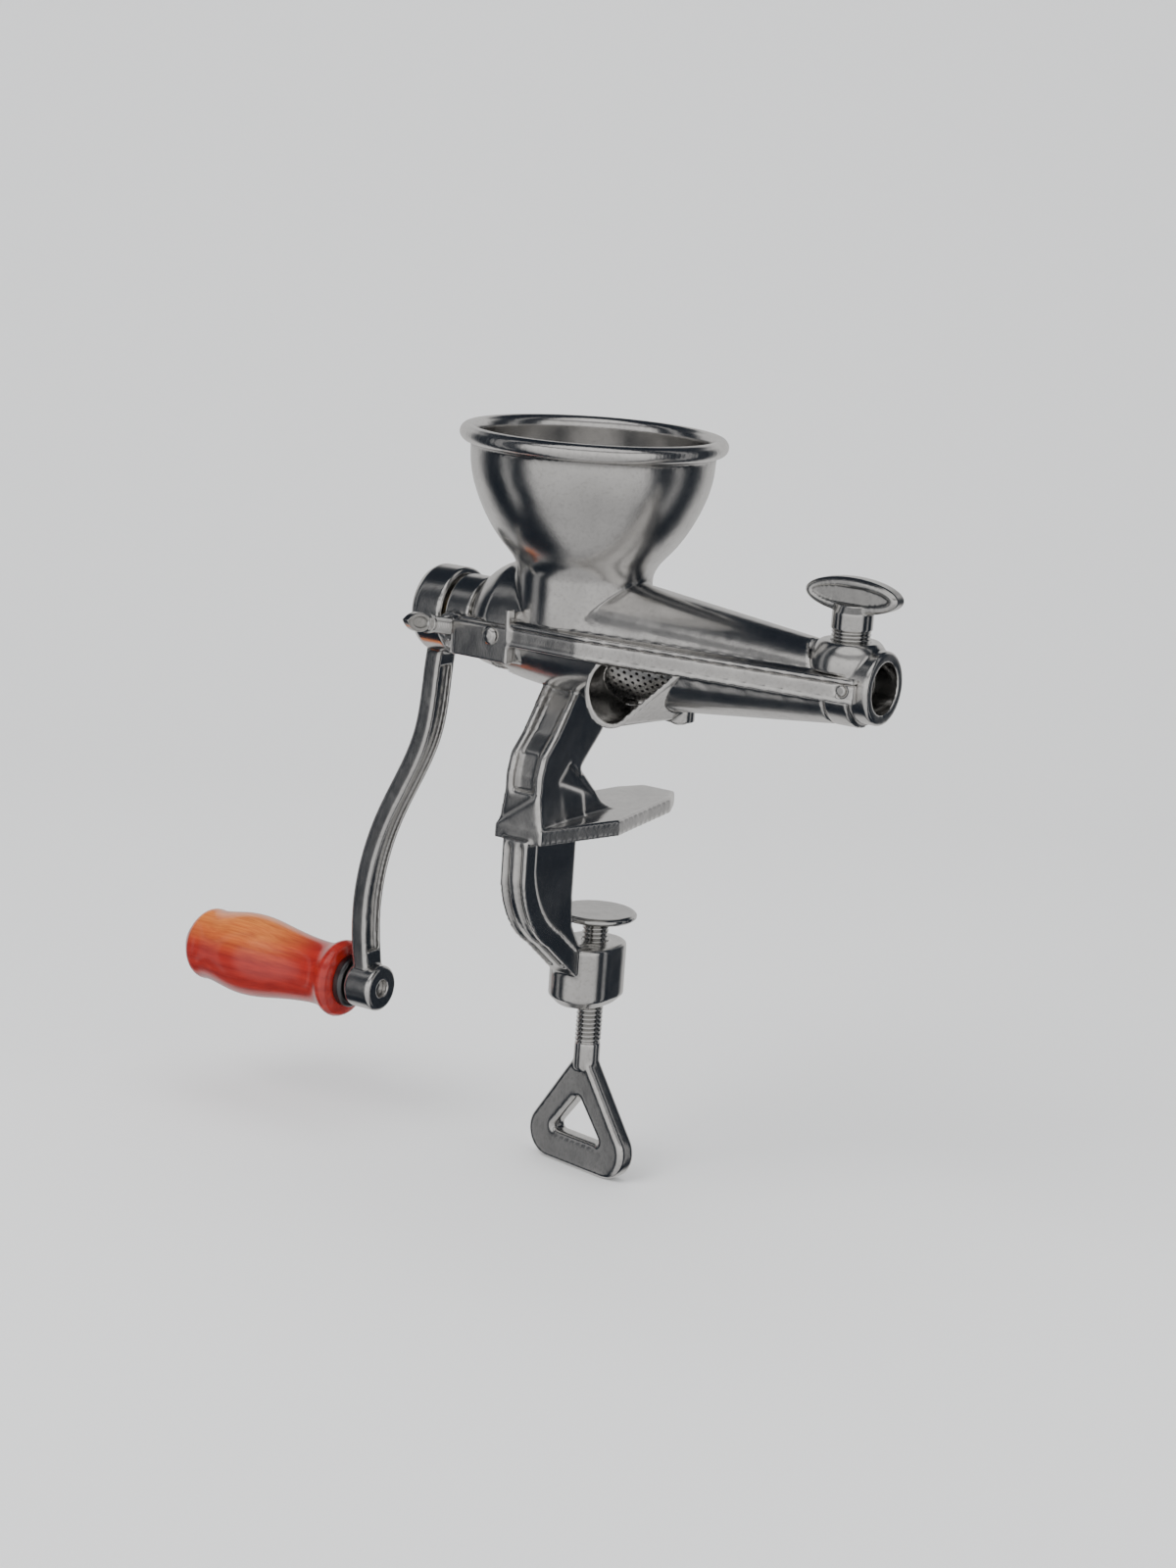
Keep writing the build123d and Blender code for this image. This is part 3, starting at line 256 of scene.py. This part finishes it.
gap_colour = (0.016, 0.021, 0.030)
panel_colour = (1.0, 0.985, 0.97)
daylight_colour = (0.93, 0.95, 1.0)
daylight = 0.75
mirrored = tree.nodes.new("ShaderNodeBackground")
tree.links.new(mixed_colour(tree, glow, gap_colour, panel_colour), mirrored.inputs["Color"])
ambient = tree.nodes.new("ShaderNodeBackground")
ambient.inputs["Color"].default_value = (*daylight_colour, 1)
ambient.inputs["Strength"].default_value = daylight
rays = tree.nodes.new("ShaderNodeLightPath")
chosen = tree.nodes.new("ShaderNodeMixShader")
tree.links.new(rays.outputs["Is Glossy Ray"], chosen.inputs[0])
tree.links.new(ambient.outputs[0], chosen.inputs[1])
tree.links.new(mirrored.outputs[0], chosen.inputs[2])
surface = tree.nodes.new("ShaderNodeOutputWorld")
tree.links.new(chosen.outputs[0], surface.inputs["Surface"])


# ---- upper and lower castings ----
# Hopper and upper barrel are one iron casting, and lower barrel, leg and clamp frame are
# another. Both are tinned and polished, and their corners are as round as a sand mould leaves them.
tin_colour = (0.80, 0.79, 0.775)


def tinned_metal(name, colour, roughness, grain_height=0.00002, wave_height=0.00012):
    """Polished metal: slightly uneven, with clouded patches and fine grain; painted shade darkens its creases and a
    painted highlight brightens its sharp edges.
    """
    material = bpy.data.materials.new(name)
    material.use_nodes = True
    parts, links = material.node_tree.nodes, material.node_tree.links
    calc = calculator(material.node_tree)
    shader = parts["Principled BSDF"]
    shader.inputs["Metallic"].default_value = 1.0
    place = parts.new("ShaderNodeTexCoord").outputs["Object"]

    def noise(size, detail):
        node = parts.new("ShaderNodeTexNoise")
        node.inputs["Scale"].default_value = 1 / size
        node.inputs["Detail"].default_value = detail
        links.new(place, node.inputs["Vector"])
        return node.outputs["Fac"]

    def mapped(value, low, high, to_low, to_high):
        node = parts.new("ShaderNodeMapRange")
        links.new(value, node.inputs["Value"])
        for key, number in (("From Min", low), ("From Max", high), ("To Min", to_low), ("To Max", to_high)):
            node.inputs[key].default_value = number
        return node.outputs["Result"]

    pointiness = parts.new("ShaderNodeNewGeometry").outputs["Pointiness"]
    clouds = mapped(noise(size=0.012, detail=3), low=0.3, high=0.7, to_low=0.90, to_high=1.04)
    specks = mapped(noise(size=0.0016, detail=2), low=0.25, high=0.5, to_low=0.88, to_high=1.0)
    # Painted shade and highlight: the mesh's pointiness darkens the base colour in creases, where shade falls, and
    # lightens it on sharp edges.
    crease_shade_and_edge_highlight = mapped(pointiness, low=0.44, high=0.52, to_low=0.42, to_high=1.06)
    tone_and_painted_shade = calc("MULTIPLY", calc("MULTIPLY", clouds, specks), crease_shade_and_edge_highlight)
    links.new(mixed_colour(material.node_tree, 1.0, colour, tone_and_painted_shade, "MULTIPLY"), shader.inputs["Base Color"])
    wear = noise(size=0.02, detail=4)
    smooth, dull = roughness * 0.85, roughness * 1.25
    links.new(mapped(wear, low=0.3, high=0.7, to_low=smooth, to_high=dull), shader.inputs["Roughness"])

    wave = parts.new("ShaderNodeBump")
    wave.inputs["Distance"].default_value = wave_height
    links.new(noise(size=0.009, detail=1), wave.inputs["Height"])
    grain = parts.new("ShaderNodeBump")
    grain.inputs["Distance"].default_value = grain_height
    links.new(noise(size=0.0007, detail=3), grain.inputs["Height"])
    links.new(wave.outputs["Normal"], grain.inputs["Normal"])
    links.new(grain.outputs["Normal"], shader.inputs["Normal"])
    return material


weld_distance = 1e-6


def as_mesh(thing, name):
    """The thing with its modifiers worked out, as a new plain object."""
    bpy.context.view_layer.update()
    shape = bpy.data.meshes.new_from_object(thing.evaluated_get(bpy.context.evaluated_depsgraph_get()))
    shape.name = name
    bpy.data.objects.remove(thing)
    made = bpy.data.objects.new(name, shape)
    scene.collection.objects.link(made)
    return made


def round_over(thing, iterations, group=""):
    """Smooths the corners of the thing, or of one of its vertex groups."""
    smoother = thing.modifiers.new("tumble", "SMOOTH")
    smoother.factor = 0.5
    smoother.iterations = iterations
    smoother.vertex_group = group


def cast_copy(node, voxel, rounding, most_faces=90000, keep=None, softer=None):
    """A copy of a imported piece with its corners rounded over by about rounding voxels.

    keep is a point and a direction: only what lies that way from the point stays.
    softer is a lowest height, a highest height and how many more times that stretch is rounded.
    """
    shape = nodes[node].data.copy()
    solid = bmesh.new()
    solid.from_mesh(shape)
    bmesh.ops.remove_doubles(solid, verts=solid.verts, dist=weld_distance)
    if keep:
        everything = solid.verts[:] + solid.edges[:] + solid.faces[:]
        bmesh.ops.bisect_plane(solid, geom=everything, plane_co=keep[0], plane_no=keep[1], clear_inner=True)
        bmesh.ops.holes_fill(solid, edges=[edge for edge in solid.edges if edge.is_boundary], sides=0)
    solid.to_mesh(shape)
    solid.free()
    shape.materials.clear()
    cast = bpy.data.objects.new(node + "_rough", shape)
    scene.collection.objects.link(cast)
    mould = cast.modifiers.new("mould", "REMESH")
    mould.mode = "VOXEL"
    mould.voxel_size = voxel
    round_over(cast, rounding)
    cast = as_mesh(cast, node + "_cast")
    if softer:
        low, high, times = softer
        zone = cast.vertex_groups.new(name="softer")
        zone.add([vertex.index for vertex in cast.data.vertices if low < vertex.co.z < high], 1.0, "REPLACE")
        round_over(cast, times, zone.name)
        cast = as_mesh(cast, node + "_cast")
    triangles = sum(len(face.vertices) - 2 for face in cast.data.polygons)
    if triangles > most_faces:
        thin = cast.modifiers.new("thin", "DECIMATE")
        thin.ratio = most_faces / triangles
        cast = as_mesh(cast, node + "_cast")
    for face in cast.data.polygons:
        face.use_smooth = True
    return cast


def dress(piece, finish, node):
    """Gives a finished piece its material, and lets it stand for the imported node."""
    piece.data.materials.clear()
    piece.data.materials.append(finish)
    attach(piece, nodes[node]["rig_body"])
    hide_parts(node)


def cast(node, finish, **how):
    """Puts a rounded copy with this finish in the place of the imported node."""
    dress(cast_copy(node, **how), finish, node)


leg_low, leg_high = 0.009, 0.056            # the leg's heights between jaw plate and barrel
leg_rounding = 8
casting_finish = tinned_metal("polished_tin", tin_colour, roughness=0.19)
cast("hopper_casting", casting_finish, voxel=0.0008, rounding=5, most_faces=190000)
cast("base_casting", casting_finish, voxel=0.0008, rounding=4, most_faces=190000,
     softer=(leg_low, leg_high, leg_rounding))


# ---- rear collar and its rivets ----
# A cast ring slips over the back of both castings, and a rivet through each of its ears holds
# it to the lower one. The rivets are soft steel with domed heads.
plated_colour = (0.74, 0.735, 0.72)
steel_finish = tinned_metal("bright_steel", plated_colour, roughness=0.17, grain_height=0.00001, wave_height=0.00004)
cast("rear_collar", casting_finish, voxel=0.0005, rounding=3)
cast("collar_rivets", steel_finish, voxel=0.0003, rounding=3)


# ---- lock screw ----
# The plated lock screw in the collar has a leaf-shaped thumb head. Its thread, and those of the
# pressure screw and the clamp screw further down, are rolled V threads with flat crests.
thread_facets = 40
rows_per_turn = 10
crest_share = 0.30          # how much of each pitch is flat crest
flank_share = 0.55          # and how much of half a pitch each flank takes
lead_in_share = 0.5         # the thread runs out over this much of a pitch at each end


def thread_tree():
    """Geometry nodes for a round bar along Z with a right-hand V thread, closed at both ends."""
    made = bpy.data.node_groups.new("screw_thread", "GeometryNodeTree")
    for name, kind in (
        ("Radius", "Float"), ("Depth", "Float"), ("Pitch", "Float"), ("Length", "Float"),
        ("Rows", "Int"), ("Metal", "Material"),
    ):
        made.interface.new_socket(name, in_out="INPUT", socket_type="NodeSocket" + kind)
    made.interface.new_socket("Screw", in_out="OUTPUT", socket_type="NodeSocketGeometry")
    calc = calculator(made)
    link = made.links.new
    size = made.nodes.new("NodeGroupInput").outputs
    strip = made.nodes.new("GeometryNodeMeshGrid")
    strip.inputs["Size X"].default_value = 1.0
    strip.inputs["Size Y"].default_value = 1.0
    strip.inputs["Vertices X"].default_value = thread_facets + 1
    link(size["Rows"], strip.inputs["Vertices Y"])
    flat = made.nodes.new("ShaderNodeSeparateXYZ")
    link(made.nodes.new("GeometryNodeInputPosition").outputs[0], flat.inputs[0])
    around = calc("ADD", flat.outputs["X"], 0.5)
    last_row = calc("SUBTRACT", size["Rows"], 1.0)
    row = calc("ROUND", calc("MULTIPLY", calc("ADD", flat.outputs["Y"], 0.5), last_row))
    from_end = calc("MINIMUM", row, calc("SUBTRACT", last_row, row))
    solid = calc("MINIMUM", from_end, 1.0)
    share = calc("DIVIDE", calc("SUBTRACT", row, 1.0), calc("SUBTRACT", last_row, 2.0))
    along = calc("MULTIPLY", calc("MINIMUM", calc("MAXIMUM", share, 0.0), 1.0), size["Length"])
    phase = calc("FRACT", calc("SUBTRACT", calc("DIVIDE", along, size["Pitch"]), around))
    slope = calc("ABSOLUTE", calc("MULTIPLY_ADD", phase, 2.0, -1.0))
    flank = calc("DIVIDE", calc("SUBTRACT", slope, crest_share), flank_share)
    groove = calc("MAXIMUM", calc("MINIMUM", flank, 1.0), 0.0)
    to_end = calc("MINIMUM", along, calc("SUBTRACT", size["Length"], along))
    run_out = calc("DIVIDE", to_end, calc("MULTIPLY", size["Pitch"], lead_in_share))
    lead_in = calc("SUBTRACT", 1.0, calc("MINIMUM", run_out, 1.0))
    cut = calc("MULTIPLY", calc("MAXIMUM", groove, lead_in), size["Depth"])
    radius = calc("MULTIPLY", calc("SUBTRACT", size["Radius"], cut), solid)
    angle = calc("MULTIPLY", around, 2 * pi)
    wound = made.nodes.new("ShaderNodeCombineXYZ")
    link(calc("MULTIPLY", radius, calc("COSINE", angle)), wound.inputs["X"])
    link(calc("MULTIPLY", radius, calc("SINE", angle)), wound.inputs["Y"])
    link(along, wound.inputs["Z"])
    placed = made.nodes.new("GeometryNodeSetPosition")
    link(strip.outputs["Mesh"], placed.inputs["Geometry"])
    link(wound.outputs[0], placed.inputs["Position"])
    merged = made.nodes.new("GeometryNodeMergeByDistance")
    merged.inputs["Distance"].default_value = weld_distance
    real = made.nodes.new("GeometryNodeRealizeInstances")
    metal = made.nodes.new("GeometryNodeSetMaterial")
    link(size["Metal"], metal.inputs["Material"])
    out = made.nodes.new("NodeGroupOutput")
    link(placed.outputs[0], merged.inputs[0])
    link(merged.outputs[0], real.inputs[0])
    link(real.outputs[0], metal.inputs["Geometry"])
    link(metal.outputs[0], out.inputs[0])
    return made


def grown(name, group, values, place, wall=0.0):
    """The tree's result with these inputs as a plain mesh, moved to its place; wall thickens a sheet."""
    thing = bpy.data.objects.new(name + "_seed", bpy.data.meshes.new(name + "_seed"))
    scene.collection.objects.link(thing)
    maker = thing.modifiers.new("maker", "NODES")
    maker.node_group = group
    for socket in group.interface.items_tree:
        if socket.in_out == "INPUT":
            maker[socket.identifier] = values[socket.name]
    if wall:
        sheet = thing.modifiers.new("wall", "SOLIDIFY")
        sheet.thickness = wall
        sheet.offset = 1.0
    thing = as_mesh(thing, name)
    thing.data.transform(place)
    for face in thing.data.polygons:
        face.use_smooth = True
    return thing


screw_tree = thread_tree()


end_rows = 3                # the rows that close both ends


def cut_thread(node, radius, depth, pitch, start, axis, length):
    """A threaded bar from start along axis that stands for part of a packed screw."""
    values = {
        "Radius": radius, "Depth": depth, "Pitch": pitch, "Length": length,
        "Rows": int(length / pitch * rows_per_turn) + end_rows, "Metal": steel_finish,
    }
    place = Matrix.Translation(start) @ axis.to_track_quat("Z", "Y").to_matrix().to_4x4()
    dress(grown(node + "_thread", screw_tree, values, place), steel_finish, node)


joint_rows = {row["name"]: row for row in frame["record"]["behaviour"]["joints"]}
lock_middle = Vector(joint_rows["lock_turn"]["pos_m"])
lock_axis = Vector(joint_rows["lock_turn"]["axis"]).normalized()
lock_tip = -0.0046          # along the axis from the joint's point
lock_thread_end = 0.0200
lock_overlap = 0.0004       # the head starts this far before the thread's end
leaf_foot = lock_middle + lock_axis * (lock_thread_end - lock_overlap)
cut_thread("lock_screw", radius=0.0037, depth=0.0006, pitch=0.00125, start=lock_middle + lock_axis * lock_tip,
           axis=lock_axis, length=lock_thread_end - lock_tip)
cast("lock_screw", steel_finish, voxel=0.00028, rounding=3, keep=(leaf_foot, lock_axis))


# ---- bush and worm ----
# A brass bush in the collar carries the worm, a tinned casting with one flight that pushes
# the grass towards the outlet. A pale washer between them takes the thrust.
worm_colour = (0.70, 0.695, 0.68)
brass_colour = (0.72, 0.55, 0.27)
washer_colour = (0.82, 0.80, 0.74)
washer_roughness = 0.5
worm_finish = tinned_metal("satin_tin", worm_colour, roughness=0.30, wave_height=0.0002)
brass_finish = tinned_metal("turned_brass", brass_colour, roughness=0.26, wave_height=0.00002)
cast("worm", worm_finish, voxel=0.0007, rounding=3, most_faces=150000)
cast("rear_bush", brass_finish, voxel=0.0005, rounding=2)

washer_finish = bpy.data.materials.new("washer_plastic")
washer_finish.use_nodes = True
washer_shader = washer_finish.node_tree.nodes["Principled BSDF"]
washer_shader.inputs["Base Color"].default_value = (*washer_colour, 1)
washer_shader.inputs["Roughness"].default_value = washer_roughness
nodes["thrust_washer"].data.materials.clear()
nodes["thrust_washer"].data.materials.append(washer_finish)


# ---- strainer ----
# A half-round screen of thin stainless sheet lies under the worm, with punched holes in
# staggered rows.
screen_low, screen_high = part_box("strainer")
barrel_height = joint_rows["crank_turn"]["pos_m"][2]
barrel_axis = Vector((0, (screen_low.y + screen_high.y) / 2, barrel_height))
sheet_wall = 0.001
drawn_wall = 0.0009         # a little thinner, so that it stays clear of the barrel
screen_radius = (screen_high.y - screen_low.y) / 2 - sheet_wall
hole_radius = 0.00078
hole_pitch = 0.0033
hole_row_pitch = 0.0029
screen_margin = 0.004
hole_corners = 12
edge_cuts = 30              # points on each side of the sheet, so that it bends smoothly
taper_begins = 0.034        # along the barrel: the screen gets narrower from here
screen_front_radius = 0.0148


def perforated_tree():
    """Geometry nodes for a flat sheet full of round holes, bent round the barrel's axis."""
    made = bpy.data.node_groups.new("perforated_screen", "GeometryNodeTree")
    for name, kind in (
        ("Length", "Float"), ("Half width", "Float"), ("Hole radius", "Float"), ("Pitch", "Float"),
        ("Row pitch", "Float"), ("Margin", "Float"), ("Radius", "Float"), ("Front radius", "Float"),
        ("Start", "Float"), ("Taper from", "Float"), ("Metal", "Material"),
    ):
        made.interface.new_socket(name, in_out="INPUT", socket_type="NodeSocket" + kind)
    made.interface.new_socket("Screen", in_out="OUTPUT", socket_type="NodeSocketGeometry")
    calc = calculator(made)
    link = made.links.new
    size = made.nodes.new("NodeGroupInput").outputs

    def vector(x, y, z=0.0):
        node = made.nodes.new("ShaderNodeCombineXYZ")
        for slot, value in zip(node.inputs, (x, y, z)):
            if isinstance(value, float):
                slot.default_value = value
            else:
                link(value, slot)
        return node.outputs[0]

    margins = calc("MULTIPLY", size["Margin"], 2.0)
    full_width = calc("MULTIPLY", size["Half width"], 2.0)
    along_space = calc("SUBTRACT", size["Length"], margins)
    across_space = calc("SUBTRACT", full_width, margins)
    double_row = calc("MULTIPLY", size["Row pitch"], 2.0)
    row_pairs = calc("FLOOR", calc("DIVIDE", calc("SUBTRACT", along_space, size["Row pitch"]), double_row))
    columns = calc("FLOOR", calc("DIVIDE", calc("SUBTRACT", across_space, size["Pitch"]), size["Pitch"]))
    holes = made.nodes.new("GeometryNodeJoinGeometry")
    for shift in (-0.5, 0.5):
        net = made.nodes.new("GeometryNodeMeshGrid")
        link(calc("MULTIPLY", row_pairs, double_row), net.inputs["Size X"])
        link(calc("MULTIPLY", columns, size["Pitch"]), net.inputs["Size Y"])
        link(calc("ADD", row_pairs, 1.0), net.inputs["Vertices X"])
        link(calc("ADD", columns, 1.0), net.inputs["Vertices Y"])
        moved = made.nodes.new("GeometryNodeTransform")
        link(net.outputs["Mesh"], moved.inputs["Geometry"])
        link(vector(calc("MULTIPLY", size["Row pitch"], shift), calc("MULTIPLY", size["Pitch"], shift / 2)),
             moved.inputs["Translation"])
        link(moved.outputs[0], holes.inputs[0])
    dots = made.nodes.new("GeometryNodeMeshToPoints")
    link(holes.outputs[0], dots.inputs["Mesh"])
    ring = made.nodes.new("GeometryNodeCurvePrimitiveCircle")
    ring.inputs["Resolution"].default_value = hole_corners
    link(size["Hole radius"], ring.inputs["Radius"])
    rings = made.nodes.new("GeometryNodeInstanceOnPoints")
    link(dots.outputs[0], rings.inputs["Points"])
    link(ring.outputs[0], rings.inputs["Instance"])
    loose = made.nodes.new("GeometryNodeRealizeInstances")
    link(rings.outputs[0], loose.inputs[0])
    edge = made.nodes.new("GeometryNodeCurvePrimitiveQuadrilateral")
    link(size["Length"], edge.inputs["Width"])
    link(full_width, edge.inputs["Height"])
    fine_edge = made.nodes.new("GeometryNodeSubdivideCurve")
    fine_edge.inputs["Cuts"].default_value = edge_cuts
    link(edge.outputs[0], fine_edge.inputs[0])
    outline = made.nodes.new("GeometryNodeJoinGeometry")
    link(loose.outputs[0], outline.inputs[0])
    link(fine_edge.outputs[0], outline.inputs[0])
    sheet = made.nodes.new("GeometryNodeFillCurve")
    link(outline.outputs[0], sheet.inputs[0])
    flat = made.nodes.new("ShaderNodeSeparateXYZ")
    link(made.nodes.new("GeometryNodeInputPosition").outputs[0], flat.inputs[0])
    along = calc("ADD", calc("ADD", flat.outputs["X"], calc("MULTIPLY", size["Length"], 0.5)), size["Start"])
    tapered = calc("MAXIMUM", calc("SUBTRACT", along, size["Taper from"]), 0.0)
    run = calc("SUBTRACT", calc("ADD", size["Start"], size["Length"]), size["Taper from"])
    whole_fall = calc("SUBTRACT", size["Radius"], size["Front radius"])
    narrowing = calc("MULTIPLY", calc("DIVIDE", tapered, run), whole_fall)
    radius = calc("SUBTRACT", size["Radius"], narrowing)
    angle = calc("DIVIDE", flat.outputs["Y"], size["Radius"])
    bent = made.nodes.new("GeometryNodeSetPosition")
    link(sheet.outputs[0], bent.inputs["Geometry"])
    across = calc("MULTIPLY", radius, calc("SINE", angle))
    down = calc("MULTIPLY", radius, calc("COSINE", angle))
    link(vector(along, across, calc("MULTIPLY", down, -1.0)), bent.inputs["Position"])
    real = made.nodes.new("GeometryNodeRealizeInstances")
    metal = made.nodes.new("GeometryNodeSetMaterial")
    out = made.nodes.new("NodeGroupOutput")
    link(bent.outputs[0], real.inputs[0])
    link(real.outputs[0], metal.inputs["Geometry"])
    link(size["Metal"], metal.inputs["Material"])
    link(metal.outputs[0], out.inputs[0])
    return made


screen_colour = (0.66, 0.66, 0.65)
screen_finish = tinned_metal("stainless_sheet", screen_colour, roughness=0.24, wave_height=0.00003)
strainer = grown("strainer_screen", perforated_tree(), {
    "Length": screen_high.x - screen_low.x, "Half width": screen_radius * pi / 2, "Hole radius": hole_radius,
    "Pitch": hole_pitch, "Row pitch": hole_row_pitch, "Margin": screen_margin, "Radius": screen_radius,
    "Front radius": screen_front_radius, "Start": screen_low.x, "Taper from": taper_begins, "Metal": screen_finish,
}, Matrix.Translation(barrel_axis), wall=-drawn_wall)
for face in strainer.data.polygons:
    face.use_smooth = False
dress(strainer, screen_finish, "strainer")


# ---- juice spout ----
# A cast scoop with a thick lip sits under the strainer. One round-headed screw through the
# boss behind it holds it to the barrel.
cast("juice_spout", casting_finish, voxel=0.0004, rounding=4, most_faces=120000)
cast("spout_screw", steel_finish, voxel=0.0003, rounding=3)


# ---- front cap, pressure screw and throttle plug ----
# The cast cap closes the barrel's end around the pulp outlet and is locked by a pin on each
# side. The plated pressure screw in its boss carries the plug that throttles the outlet.
cast("front_cap", casting_finish, voxel=0.0006, rounding=3)
cast("cap_lock_pins", steel_finish, voxel=0.0003, rounding=2)
cast("throttle_plug", steel_finish, voxel=0.0003, rounding=2)

plug_gap = 0.0001
thread_above_cap = 0.0046
stem_overlap = 0.0003       # the stem starts this far below the thread's end
upwards = Vector((0, 0, 1))
plug_low, plug_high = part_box("throttle_plug")
pressure_foot = Vector(((plug_low.x + plug_high.x) / 2, (plug_low.y + plug_high.y) / 2, plug_high.z + plug_gap))
pressure_thread_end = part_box("front_cap")[1].z + thread_above_cap
stem_foot = Vector((0, 0, pressure_thread_end - stem_overlap))
cut_thread("pressure_screw", radius=0.0082, depth=0.0008, pitch=0.0015, start=pressure_foot, axis=upwards,
           length=pressure_thread_end - pressure_foot.z)
cast("pressure_screw", steel_finish, voxel=0.0004, rounding=3, keep=(stem_foot, upwards))


# ---- clamp screw and pad ----
# A plated screw goes up through the frame's boss and carries a round pad on its end. Its
# lower end is forged into a flat eye that the fingers turn it by.
eye_height = 0.060          # from the eye's lower edge to the end of the thread
pad_gap = 0.0001
eye_overlap = 0.0004        # the thread starts this far inside the plain shank
pad_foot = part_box("clamp_pad")[0].z - pad_gap
shank_top = Vector((0, 0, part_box("clamp_screw")[0].z + eye_height))
clamp_foot = shank_top - upwards * eye_overlap
cut_thread("clamp_screw", radius=0.0059, depth=0.0010, pitch=0.002, start=clamp_foot, axis=upwards,
           length=pad_foot - clamp_foot.z)
cast("clamp_screw", casting_finish, voxel=0.0006, rounding=14, keep=(shank_top, -upwards))
cast("clamp_pad", steel_finish, voxel=0.0004, rounding=3)


# ---- crank ----
# The cast arm sits on the worm's square tail, with a hexagon-headed screw and a washer in the
# end. Its lower boss takes the pin that the handle turns on.
cast("crank_arm", casting_finish, voxel=0.0006, rounding=4, most_faces=150000)
cast("crank_screw", steel_finish, voxel=0.0003, rounding=2)
cast("crank_washer", steel_finish, voxel=0.0003, rounding=1)
cast("handle_pin", steel_finish, voxel=0.0004, rounding=2)
cast("pin_washer", steel_finish, voxel=0.0002, rounding=1)


# ---- handle ----
# The grip is turned wood, stained red and varnished. A dark steel ferrule closes its inner
# end, and both turn freely on the pin.
ferrule_colour = (0.16, 0.16, 0.165)
ferrule_finish = tinned_metal("dark_steel", ferrule_colour, roughness=0.28, wave_height=0.00002)
cast("handle_ferrule", ferrule_finish, voxel=0.0003, rounding=3)

stain_dark = (0.25, 0.006, 0.005)
stain_light = (0.50, 0.024, 0.011)
sheen_colour = (0.80, 0.27, 0.045)            # painted sheen: a lighter orange painted on the grip's upper side, where light falls on the varnish
grain_width = 0.0011
ring_width = 0.0052
ring_strength, streak_strength = 0.13, 0.62
sheen_from, sheen_until = 0.001, 0.019        # heights above the grip's middle
sheen_start, sheen_full = 0.012, 0.044        # distances from the grip's inner end
grip_low, grip_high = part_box("handle_grip")
grip_height = (grip_low.z + grip_high.z) / 2

wood_finish = bpy.data.materials.new("red_varnished_wood")
wood_finish.use_nodes = True
wood_parts, wood_links = wood_finish.node_tree.nodes, wood_finish.node_tree.links
wood_calc = calculator(wood_finish.node_tree)
wood_shader = wood_parts["Principled BSDF"]
wood_place = wood_parts.new("ShaderNodeTexCoord").outputs["Object"]


def wood_noise(size, stretch, detail):
    """Noise drawn out along the grip by stretch."""
    turn_along = wood_parts.new("ShaderNodeMapping")
    turn_along.inputs["Scale"].default_value = (1 / stretch, 1.0, 1.0)
    wood_links.new(wood_place, turn_along.inputs["Vector"])
    node = wood_parts.new("ShaderNodeTexNoise")
    node.inputs["Scale"].default_value = 1 / size
    node.inputs["Detail"].default_value = detail
    wood_links.new(turn_along.outputs[0], node.inputs["Vector"])
    return node.outputs["Fac"]


wood_axes = wood_parts.new("ShaderNodeSeparateXYZ")
wood_links.new(wood_place, wood_axes.inputs[0])
wobble = wood_calc("MULTIPLY", wood_noise(size=0.016, stretch=5, detail=2), 5.0)
height_in_rings = wood_calc("MULTIPLY", wood_axes.outputs["Z"], 2 * pi / ring_width)
rings = wood_calc("SINE", wood_calc("ADD", height_in_rings, wobble))
streaks = wood_calc("MULTIPLY_ADD", wood_noise(size=grain_width, stretch=40, detail=3), 1.5, -0.35)
ring_part = wood_calc("MULTIPLY_ADD", rings, ring_strength, ring_strength)
mixture = wood_calc("ADD", ring_part, wood_calc("MULTIPLY", streaks, streak_strength))
stain = mixed_colour(wood_finish.node_tree, mixture, stain_dark, stain_light)
# Painted sheen: the grip's upper side near its inner end is painted a lighter orange, standing in for light on the
# varnish, with the grain streaks running through it.
sheen_up = ramp_up(wood_finish.node_tree, wood_axes.outputs["Z"], grip_height + sheen_from, grip_height + sheen_until)
sheen_along = ramp_up(
    wood_finish.node_tree, wood_axes.outputs["X"], grip_high.x - sheen_start, grip_high.x - sheen_full)
sheen_streaks = wood_calc("MULTIPLY_ADD", streaks, 0.7, 0.35)
painted_sheen = wood_calc("MULTIPLY", wood_calc("MULTIPLY", sheen_up, sheen_along), sheen_streaks)
wood_links.new(mixed_colour(wood_finish.node_tree, painted_sheen, stain, sheen_colour), wood_shader.inputs["Base Color"])
wood_shader.inputs["Roughness"].default_value = 0.36
wood_shader.inputs["Coat Weight"].default_value = 1.0
wood_shader.inputs["Coat Roughness"].default_value = 0.07
wood_bump = wood_parts.new("ShaderNodeBump")
wood_bump.inputs["Distance"].default_value = 0.00003
wood_links.new(streaks, wood_bump.inputs["Height"])
wood_links.new(wood_bump.outputs["Normal"], wood_shader.inputs["Normal"])
cast("handle_grip", wood_finish, voxel=0.0007, rounding=2)
